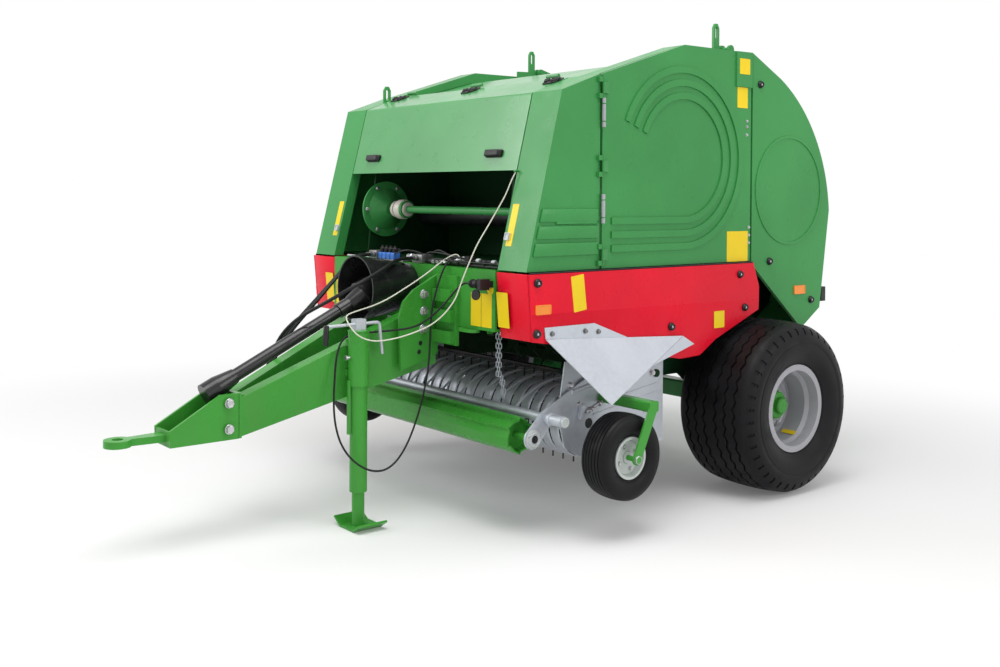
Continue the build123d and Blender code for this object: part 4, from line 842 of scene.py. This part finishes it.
# ------------------------------------------------------------------ skirts
SKIRT_LINE = [
    (-1.750, 1.252), (-1.722, 0.940), (-1.250, 0.868), (-0.685, 0.772), (-0.552, 0.777), (-0.422, 0.855),
    (-0.062, 0.993), (-0.062, 1.133), (-0.106, 1.243), (-0.106, 1.252),
]
FOLD_Z = 1.066
SKIRT_THICK = 0.014
for side, sign in SIDES:
    outline = [spot(sign * (SKIRT_X - SKIRT_THICK), y, z) for y, z in SKIRT_LINE]
    panel = slab(f"skirt_{side}", outline, (sign * SKIRT_THICK, 0, 0))
    with Shaping(panel) as shape:
        bpy.ops.mesh.select_all(action="SELECT")
        bpy.ops.mesh.bisect(plane_co=(0, 0, FOLD_Z), plane_no=(0, 0.012, 1))
        # the part below the fold leans in
        for z0, z1 in ((0.76, 0.80), (0.80, 0.90), (0.90, 0.96), (0.96, 1.02)):
            shape.pick("verts", lambda c: z0 <= c.z < z1)
            bpy.ops.transform.translate(value=(-sign * (FOLD_Z - (z0 + z1) / 2) * 0.03, 0, 0))
        # the outer rim, without the fold and the long top edge
        shape.pick(
            "edges",
            lambda c, d: abs(abs(c.x) - SKIRT_X) < 0.012 and abs(d.x) < 0.002
            and abs(c.z - FOLD_Z) > 0.03 and not (abs(d.y) > 0.5 and c.z > 1.2),
        )
        bpy.ops.mesh.bevel(offset=0.005, segments=3, affect="EDGES", clamp_overlap=True)
    # the front lip turns round the corner, up to the beam's end
    inner = BEAM_X + 0.009
    lip = [
        (inner, -1.736, 1.252), (SKIRT_X - 0.004, -1.736, 1.252), (SKIRT_X - 0.008, -1.708, 0.940),
        (inner, -1.708, 0.940),
    ]
    lip = [spot(sign * x, y, z) for x, y, z in lip]
    lip = slab(f"skirt_front_{side}", lip, (0, -SKIRT_THICK, 0), 0.003)
    stands_for = ["skirts"] if side == "left" else ()
    dress(joined([panel, lip], f"skirt_{side}"), red, "frame", stands_for)
    seal = [spot(sign * 0.972, y, 1.256) for y in (-1.738, -0.112)]
    rod(f"skirt_seal_{side}", seal, 0.0045, black, "frame")

# ------------------------------------------------------------------ pickup
REEL = (-1.280, 0.500)
GUARD_BAR = (-1.576, 0.564)
CROP_ROLLER = (-1.662, 0.476)
BAND_R, BAND_N, BAND_GAP, PICKUP_X = 0.170, 23, 0.016, 0.885
BAND_PITCH = 2 * (PICKUP_X - 0.015) / BAND_N


def band_point(angle):
    """A point of the band's round part, at an angle from the rear."""
    return (REEL[0] + BAND_R * math.cos(angle), REEL[1] + BAND_R * math.sin(angle))


# one stripper band, crowned across its width, and its copies
line = [band_point(math.radians(270 - step)) for step in range(0, 176, 7)]
line = [(-1.040, REEL[1] - BAND_R), *line, (-1.140, 0.683)]
width = BAND_PITCH - BAND_GAP
strip = start("plane", "band", size=0.001, location=spot(0, *line[0]))
with Shaping(strip) as shape:
    bpy.ops.mesh.select_all(action="SELECT")
    bpy.ops.mesh.merge(type="CENTER")
    for before, after in zip(line, line[1:]):
        step = spot(0, *after) - spot(0, *before)
        bpy.ops.mesh.extrude_vertices_move(TRANSFORM_OT_translate={"value": step})
    bpy.ops.mesh.select_all(action="SELECT")
    bpy.ops.mesh.extrude_edges_move(TRANSFORM_OT_translate={"value": (width, 0, 0)})
    for share in (0.06, 0.2, 0.5, 0.8, 0.94):
        bpy.ops.mesh.select_all(action="SELECT")
        bpy.ops.mesh.bisect(plane_co=(width * share, 0, 0), plane_no=(1, 0, 0))
    reel_at = spot(0, *REEL)
    for share, drop in ((0.0, 0.006), (0.06, 0.0015), (0.94, 0.0015), (1.0, 0.006)):
        shape.pick("verts", lambda c: abs(c.x - width * share) < 0.0005 and c.y < reel_at.y + 0.03)
        bpy.ops.transform.resize(value=(1, 1 - drop / BAND_R, 1 - drop / BAND_R), center_override=reel_at)
copies = [Matrix.Translation((-PICKUP_X + 0.015 + n * BAND_PITCH, 0, 0)) for n in range(BAND_N)]
close_up(strip, 25)
bands = repeat(strip, copies, "stripper_bands")
bpy.ops.object.select_all(action="DESELECT")
bands.select_set(True)
bpy.context.view_layer.objects.active = bands
wall = bands.modifiers.new("sheet", "SOLIDIFY")
wall.thickness, wall.offset = 0.003, 1
bpy.ops.object.modifier_apply(modifier="sheet")
dress(close_up(bands, 25), band_zinc, "pickup", ["pickup_bands"])
for name, (y, z) in (("band_rail_low", (-1.025, 0.332)), ("band_rail_top", (-1.128, 0.688))):
    end = PICKUP_X - 0.001
    rail = block(name, spot(-end, y - 0.016, z - 0.016), spot(end, y + 0.016, z + 0.016), 0.003)
    dress(rail, tine_steel, "pickup")

# flange bearings of the crop roller, caps of the guard's bar, and the pickup's side plates
PLATE_X = PICKUP_X + 0.008
THREAD = [(0.002 * n, 0.0075 - 0.0012 * (n % 2)) for n in range(1, 58)]
THREAD = [(0, 0.0), (0, 0.007), *THREAD, (0.118, 0.0)]
BEARING = [
    (-0.014, 0.044), (-0.006, 0.044), (-0.004, 0.041), (-0.003, 0.036), (0.004, 0.034), (0.006, 0.030),
    (0.003, 0.026), (-0.001, 0.024), (-0.002, 0.020),
]
CORE = [(-0.002, 0.020), (0.002, 0.018), (0.002, 0.008), (0.010, 0.007), (0.011, 0.0)]
BAR_CAP = [(-0.002, 0.0245), (0.003, 0.0245), (0.005, 0.022), (0.005, 0.016), (0.002, 0.014), (0.002, 0.0)]
BAR_COLLAR = [(0, 0.022), (0, 0.030), (0.004, 0.032), (0.016, 0.032), (0.020, 0.030), (0.020, 0.022)]
STAY = [(0, 0.0), (0, 0.013), (0.004, 0.0165), (0.150, 0.0165), (0.154, 0.013), (0.154, 0.0)]
PLATE_BOLTS = (
    (-1.405, 0.700, 0.0), (-1.430, 0.640, 0.3), (-1.050, 0.700, 0.2), (-0.880, 0.520, 0.2),
    (-1.344, 0.600, 0.1), (-0.830, 0.705, 0.4),
)
for side, sign in SIDES:
    out = Vector((sign, 0, 0))
    seat = spot(sign * (PICKUP_X + 0.042), *CROP_ROLLER)
    ring = turned(f"roller_bearing_{side}", BEARING, seat, axis=out, steps=36)
    dress(ring, disc_zinc, "windguard")
    core = turned(f"roller_bearing_core_{side}", CORE, seat, axis=out, steps=24)
    dress(core, black, "windguard")
    rivets = circle(seat - out * 0.004, 0.037, 3, out, 0.5)
    rivets = repeat(hex_bolt(0.010, 0.005, 0.007), rivets, f"roller_bearing_bolts_{side}")
    dress(rivets, bolt_steel, "windguard")
    end = spot(sign * (PICKUP_X + 0.156), *GUARD_BAR)
    cap = turned(f"bar_cap_{side}", BAR_CAP, end, axis=out, steps=28)
    dress(cap, disc_zinc, "windguard")
    collar_at = spot(sign * (PICKUP_X + 0.050), *GUARD_BAR)
    collar = turned(f"bar_collar_{side}", BAR_COLLAR, collar_at, axis=out, steps=28)
    dress(collar, galvanised, "windguard")
    # stay tube, threaded rod and bolts on the pickup's side plate
    stay_at = spot(sign * 0.903, -1.418, 0.668)
    stay = turned(f"pickup_stay_{side}", STAY, stay_at, axis=(0, 0.985, 0.17), steps=20)
    dress(stay, galvanised, "pickup")
    pins = [facing(spot(sign * PLATE_X, y, z), out, turn) for y, z, turn in PLATE_BOLTS]
    pins = repeat(hex_bolt(0.024, 0.012, 0.018), pins, f"pickup_plate_bolts_{side}")
    dress(pins, bolt_steel, "pickup")
    thread_at = spot(sign * 0.935, -1.336, 0.566)
    axis = Vector((0, 0.93, 0.37)).normalized()
    thread = turned(f"gauge_thread_{side}", THREAD, thread_at, axis=axis, steps=12)
    dress(thread, bolt_steel, "pickup")
    locks = [facing(thread_at + axis * along, axis, 0.2) for along in (0.012, 0.030, 0.088)]
    locks = repeat(hex_bolt(0.022, 0.012, 0.014), locks, f"gauge_thread_nuts_{side}")
    dress(locks, bolt_steel, "pickup")
    lug = [(-1.362, 0.530), (-1.312, 0.530), (-1.300, 0.585), (-1.350, 0.600)]
    lug = [spot(sign * PLATE_X, y, z) for y, z in lug]
    lug = slab(f"gauge_thread_lug_{side}", lug, out * 0.030, 0.004)
    dress(lug, galvanised, "pickup")
    ridge = [
        [spot(sign * 0.8935, -1.250, z), spot(sign * 0.8935, -0.790, z + 0.065)] for z in (0.585, 0.540)
    ]
    ridge = [rod("ridge", path, 0.0035, galvanised, "pickup") for path in ridge]
    dress(joined(ridge, f"pickup_plate_ridges_{side}"), galvanised, "pickup")

# ------------------------------------------------------------------ chains of the wind guard
link = start("torus", "link", major_radius=0.0075, minor_radius=0.0024, major_segments=16, minor_segments=8)
with Shaping(link) as shape:
    shape.pick("verts", lambda c: c.x > 0.0001)
    bpy.ops.transform.translate(value=(0.007, 0, 0))
    shape.pick("verts", lambda c: c.x < -0.0001)
    bpy.ops.transform.translate(value=(-0.007, 0, 0))
close_up(link, 60)
CHAIN_X, CHAIN_Y, CHAIN_TOP = 0.580, -1.597, 0.951
LINK_PITCH, HUNG_N, HELD_N = 0.023, 10, 5


def link_place(x, y, n, below=CHAIN_TOP):
    """The place of a strand's nth link, turned a quarter against the one above it."""
    turn = Matrix.Rotation(math.pi / 2, 4, "Y") @ Matrix.Rotation(math.radians(42 if n % 2 else -48), 4, "X")
    return Matrix.Translation(spot(x, y, below - LINK_PITCH * (n + 0.5))) @ turn


hung, held = [], []
for side, sign in SIDES:
    for strand in (-0.011, 0.011):
        hung += [link_place(sign * CHAIN_X + strand * (1 - n / 30), CHAIN_Y, n) for n in range(HUNG_N)]
        # the last links hold the bar and go up with it, behind the others
        held += [
            link_place(sign * CHAIN_X + strand * 0.6, CHAIN_Y + 0.022 + 0.003 * n, n,
                       CHAIN_TOP - LINK_PITCH * HUNG_N)
            for n in range(HELD_N)
        ]
bpy.ops.object.select_all(action="DESELECT")
link.select_set(True)
bpy.context.view_layer.objects.active = link
bpy.ops.object.duplicate()
spare = bpy.context.object
LUG = [(-0.018, 0.9655), (0.014, 0.9655), (0.014, 0.948), (0.006, 0.938), (-0.010, 0.938), (-0.018, 0.948)]
lugs = []
for side, sign in SIDES:
    outline = [spot(sign * CHAIN_X - 0.003, CHAIN_Y + a, z) for a, z in LUG]
    lugs.append(slab("lug", outline, (0.006, 0, 0), 0.001))
dress(joined(lugs, "guard_chain_lugs"), bright_green, "frame")
dress(repeat(link, hung, "guard_chain_links"), galvanised, "frame", ["guard_chains"])
dress(repeat(spare, held, "guard_chain_ends"), galvanised, "windguard")

# ------------------------------------------------------------------ valve block, loom and plug
BANKS = ((-0.400, -0.326, 1.308, 0.005), (-0.326, -0.070, 1.264, 0.002), (0.015, 0.105, 1.304, 0.005))
FERRULE = [
    (0, 0.0), (0, 0.013), (0.003, 0.0145), (0.012, 0.0145), (0.015, 0.012), (0.030, 0.012), (0.030, 0.0),
]
STEM = [
    (-0.001, 0.012), (0.003, 0.014), (0.022, 0.014), (0.026, 0.011), (0.026, 0.008), (0.036, 0.007),
    (0.037, 0.0),
]
HOSE_Z = 1.285
banks = [
    block("bank", spot(left, -1.730, BEAM_TOP), spot(right, -1.650, top), bevel)
    for left, right, top, bevel in BANKS
]
banks += [turned("ferrule", FERRULE, spot(x, -1.730, HOSE_Z), axis=(0, -1, 0), steps=18)
          for x in (0.060, -0.340, -0.380)]
dress(joined(banks, "valve_banks"), roller_steel, "frame", ["valve_block"])
for n in range(4):
    at = spot(-0.305 + n * 0.040, -1.700, 1.300)
    low, high = at + Vector((-0.017, -0.022, -0.037)), at + Vector((0.017, 0.022, 0))
    coil = block(f"valve_coil_{n}", low, high, 0.005, 3)
    dress(coil, blue, "frame")
    stem = turned(f"valve_stem_{n}", STEM, at, axis=(0, 0, 1), steps=20)
    dress(stem, black, "frame")
    low, high = at + Vector((-0.012, 0.0225, -0.030)), at + Vector((0.012, 0.036, 0.022))
    plug_cap = block(f"valve_plug_{n}", low, high, 0.004)
    dress(plug_cap, black, "frame")
fittings = []
for x, y, z, r, length, axis in (
    (0.015, -1.700, 1.288, 0.015, 0.075, (-1, 0, 0)), (0.015, -1.672, 1.286, 0.013, 0.095, (-1, 0, 0)),
    (0.235, -1.715, 1.276, 0.011, 0.040, (0, -1, 0)), (0.275, -1.715, 1.276, 0.011, 0.040, (0, -1, 0)),
    (0.315, -1.705, 1.276, 0.012, 0.034, (0, -1, 0.2)), (0.355, -1.700, 1.282, 0.011, 0.055, (1, 0, 0.2)),
):
    profile = [
        (0, 0.0), (0, r * 0.8), (0.004, r), (length * 0.42, r), (length * 0.45, r * 0.75),
        (length * 0.55, r * 0.75), (length * 0.58, r * 0.92), (length, r * 0.92), (length, 0.0),
    ]
    fittings.append(turned("fitting", profile, spot(x, y, z), axis=axis, steps=6 if r > 0.0145 else 16))
dress(joined(fittings, "valve_fittings"), bolt_steel, "frame")
pipe = [spot(-0.670, -1.700, 1.265), spot(-0.440, -1.700, 1.265), spot(-0.405, -1.690, 1.280)]
rod("beam_pipe", pipe, 0.006, pale_grey, "frame", bend=0.02)
LOOM_WIRES = [
    [(0.090, -1.690, 1.306), (0.150, -1.715, 1.320), (0.240, -1.700, 1.318), (0.350, -1.690, 1.300),
     (0.470, -1.692, 1.292), (0.600, -1.690, 1.290), (0.705, -1.690, 1.288)],
    [(0.140, -1.690, 1.306), (0.200, -1.700, 1.338), (0.300, -1.682, 1.305), (0.420, -1.680, 1.296),
     (0.560, -1.682, 1.294), (0.700, -1.682, 1.292)],
    [(0.050, -1.690, 1.306), (0.010, -1.735, 1.325), (-0.060, -1.750, 1.318), (-0.140, -1.720, 1.300),
     (-0.260, -1.690, 1.292)],
    [(0.180, -1.720, 1.286), (0.290, -1.760, 1.292), (0.420, -1.752, 1.288), (0.560, -1.715, 1.284),
     (0.690, -1.700, 1.284)],
]
for n, path in enumerate(LOOM_WIRES):
    rod(f"loom_wire_{n}", [spot(*p) for p in path], 0.0042, black, "frame", bend=0.035)
SLEEVE = [(0, 0.0), (0, 0.010), (0.003, 0.011), (0.022, 0.011), (0.025, 0.010), (0.025, 0.0)]
sleeves = [
    turned("sleeve", SLEEVE, spot(x, -1.690, z), steps=14)
    for x, z in ((0.402, 1.296), (0.520, 1.292), (0.640, 1.290))
]
dress(joined(sleeves, "loom_sleeves"), pale_grey, "frame")
CLIP = [(0, 0.0), (0, 0.0145), (0.002, 0.016), (0.012, 0.016), (0.014, 0.0145), (0.014, 0.0)]
clips = [turned("clip", CLIP, spot(x, -1.690, 1.281), steps=16) for x in (0.30, 0.46, 0.58, 0.69)]
dress(joined(clips, "loom_clips"), black, "frame")

low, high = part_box("electric_plug")
at = Vector((low.x, low.y + 0.026, (low.z + high.z) / 2))
grips = []
for start_x in (0.024, 0.031, 0.038, 0.072, 0.080, 0.088):
    r = 0.0215 if start_x < 0.05 else 0.0255
    profile = [(start_x, r - 0.003), (start_x + 0.001, r), (start_x + 0.003, r), (start_x + 0.004, r - 0.003)]
    grips.append(turned("grip", profile, at, steps=28, closed=True))
dress(joined(grips, "plug_grips"), black, "frame")
LID = [(0, 0.0), (0, 0.024), (0.003, 0.026), (0.009, 0.026), (0.011, 0.024), (0.011, 0.0)]
lid = turned("socket_lid", LID, at + Vector((0.060, 0, -0.052)), axis=(0.2, -1, 0.1), steps=24)
strap = [at + Vector(p) for p in ((0.060, 0.004, -0.03), (0.075, -0.002, -0.036), (0.084, 0.0, -0.022))]
strap = rod("socket_strap", strap, 0.003, black, "frame", bend=0.008)
dress(joined([lid, strap], "socket_lid"), black, "frame")

# ------------------------------------------------------------------ pressed ribs of the front flanks
RIB_HIGH, RIB_REAR = 0.062, -1.292
for side, sign in SIDES:
    ribs = []
    for low in (1.331, 1.411, 1.491):
        x, high = sign * (DOOR_X - 0.0005), low + RIB_HIGH
        margin = Vector((0, 0.018, 0))
        corners = [
            front_spot(x, low) + margin, spot(x, RIB_REAR, low), spot(x, RIB_REAR, high),
            front_spot(x, high) + margin,
        ]
        ribs.append(slab("rib", corners, (sign * 0.0105, 0, 0), 0.007, 4))
    dress(joined(ribs, f"flank_ribs_{side}"), green, "frame")

# ------------------------------------------------------------------ net spindle
spindle_low, spindle_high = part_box("net_spindle")
net_at = Vector((spindle_low.x, (spindle_low.y + spindle_high.y) / 2, (spindle_low.z + spindle_high.z) / 2))
BUSH = [
    (0.118, 0.0212), (0.118, 0.040), (0.122, 0.047), (0.134, 0.049), (0.140, 0.047), (0.144, 0.035),
    (0.150, 0.033), (0.156, 0.035), (0.160, 0.052), (0.168, 0.056), (0.204, 0.056), (0.212, 0.052),
    (0.216, 0.042), (0.240, 0.040), (0.243, 0.036), (0.243, 0.0212),
]
bush = turned("spindle_bush", BUSH, net_at, steps=40)
dress(bush, cream, "net_spindle")
disc_bolts = circle(net_at + Vector((0.024, 0, 0)), 0.138, 6, (1, 0, 0))
nuts = repeat(hex_bolt(0.016, 0.009, 0.012), disc_bolts, "spindle_disc_bolts")
dress(nuts, bolt_steel, "net_spindle")

# ------------------------------------------------------------------ door hinges and tail lamps
def hinge_tube(x, z, length):
    """A tube round the door's hinge pin, from height z up."""
    profile = [
        (0, 0.0045), (0, 0.0085), (0.001, 0.0095), (length - 0.001, 0.0095), (length, 0.0085),
        (length, 0.0045),
    ]
    return turned("hinge_tube", profile, spot(x, DOOR_PIN[1], z), axis=(0, 0, 1), steps=20)


LENSES = (("stop", 0.050, ruby, 0.823), ("turn", 0.040, amber, 0.872), ("tail", 0.036, ruby, 0.915))
BRACKET_BOLTS = ((-0.290, 2.400, 0.1), (-0.236, 2.405, 0.4), (-0.290, 2.366, 0.2))
lamp_low, lamp_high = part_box("tail_lamps")
for side, sign in SIDES:
    pin_x = sign * DOOR_PIN[0]
    ends, tubes = [], []
    for z in (1.553, 2.019):
        tubes.append(hinge_tube(pin_x, z - 0.040, 0.080))
        ends += [hinge_tube(pin_x, z - 0.0705, 0.025), hinge_tube(pin_x, z + 0.0455, 0.025)]
    dress(joined(ends, f"door_hinge_ends_{side}"), silver, "frame")
    dress(joined(tubes, f"door_hinge_sleeves_{side}"), silver, f"door_{side}")
    for name, width, material, x in LENSES:
        place = Vector((sign * x, lamp_high.y, (lamp_low.z + lamp_high.z) / 2))
        lens_plate = plate(f"{name}_lens_{side}", place, (0, 1, 0), width, 0.070, 0.008, 0.006)
        dress(lens_plate, material, "tailgate")
    bolts = [facing(spot(sign * 0.787, y, z), (sign, 0, 0), turn) for y, z, turn in BRACKET_BOLTS]
    bolts = repeat(hex_bolt(0.020, 0.009, 0.015), bolts, f"hinge_bracket_bolts_{side}")
    dress(bolts, bolt_steel, "frame")

# ------------------------------------------------------------------ jack
jack = Vector((0.245, AXLE_Y - 2.200, 0))
GRIP = [(0, 0.0), (0, 0.011), (0.004, 0.0135), (0.052, 0.0145), (0.090, 0.0125), (0.096, 0.010), (0.096, 0.0)]
grip = turned("crank_grip", GRIP, jack + Vector((0.012, -0.187, 0.994)), axis=(0, -0.05, -1), steps=20)
dress(grip, black, "frame")
COLLAR = [(0.953, 0.030), (0.953, 0.0535), (0.958, 0.0535), (0.961, 0.050), (0.961, 0.030)]
top = turned("jack_top", COLLAR, jack, axis=(0, 0, 1), steps=32)
dress(top, bright_green, "frame")
PIN = [(-0.075, 0.0), (-0.075, 0.012), (-0.066, 0.012), (-0.064, 0.0075), (-0.050, 0.0075)]
pin = turned("jack_pin", PIN, jack + Vector((0, 0, 0.83)), axis=(0, 1, 0), steps=16)
dress(pin, bolt_steel, "frame")


# ------------------------------------------------------------------ studio
bpy.ops.object.select_all(action="DESELECT")
bpy.ops.mesh.primitive_plane_add(size=60, location=(0, 0, -0.001))
floor = bpy.context.object
floor.name = "studio_floor"
ground = Finish("studio_floor_paint", {"Roughness": 0.9, "Base Color": (0.82, 0.82, 0.82, 1),
                                       "Specular IOR Level": 0.1})
# far from the machine the floor runs into the white backdrop
reach = ground.node("ShaderNodeVectorMath", {"operation": "LENGTH"}, {0: ground.place}, out="Value")
far = ground.between(reach, 2.6, 5.5, 0.10, 1.0)
glow = ground.node("ShaderNodeEmission", {}, {"Color": (1, 1, 1, 1), "Strength": 1.0})
blend = ground.node("ShaderNodeMixShader", {}, {0: far})
ground.tree.links.new(ground.shader.outputs[0], ground.tree.nodes[-1].inputs[1])
ground.tree.links.new(glow.socket, ground.tree.nodes[-1].inputs[2])
ground.tree.links.new(blend.socket, ground.tree.nodes["Material Output"].inputs["Surface"])
floor.data.materials.append(ground.material)

world = bpy.data.worlds.new("studio")
world.use_nodes = True
bpy.context.scene.world = world
sky = world.node_tree.nodes["Background"]
rays = world.node_tree.nodes.new("ShaderNodeLightPath")
seen = rays.outputs["Is Camera Ray"]
for ray in ("Is Glossy Ray", "Is Transmission Ray"):
    either = world.node_tree.nodes.new("ShaderNodeMath")
    either.operation = "MAXIMUM"
    world.node_tree.links.new(seen, either.inputs[0])
    world.node_tree.links.new(rays.outputs[ray], either.inputs[1])
    seen = either.outputs[0]
strength = world.node_tree.nodes.new("ShaderNodeMapRange")
world.node_tree.links.new(seen, strength.inputs["Value"])
strength.inputs["To Min"].default_value = 0.62
strength.inputs["To Max"].default_value = 1.0
world.node_tree.links.new(strength.outputs[0], sky.inputs["Strength"])
sky.inputs["Color"].default_value = (1, 1, 1, 1)

LAMPS = [
    # name, place, aim, size, watts
    ("front_panel_light", (-4.2, -5.5, 4.2), (0, -0.2, 1.4), 3.0, 170),
    ("overhead_light", (1.5, -1.0, 6.5), (0, 0, 1.2), 4.0, 260),
    ("side_light", (7.5, 2.5, 3.6), (0.5, 0, 1.0), 3.0, 110),
]
for name, place, aim, size, watts in LAMPS:
    lamp = bpy.data.lights.new(name, "AREA")
    lamp.size = size
    lamp.energy = watts
    holder = bpy.data.objects.new(name, lamp)
    holder.location = place
    holder.rotation_euler = (Vector(aim) - Vector(place)).to_track_quat("-Z", "Y").to_euler()
    bpy.context.scene.collection.objects.link(holder)

bpy.context.scene.view_settings.view_transform = "Standard"
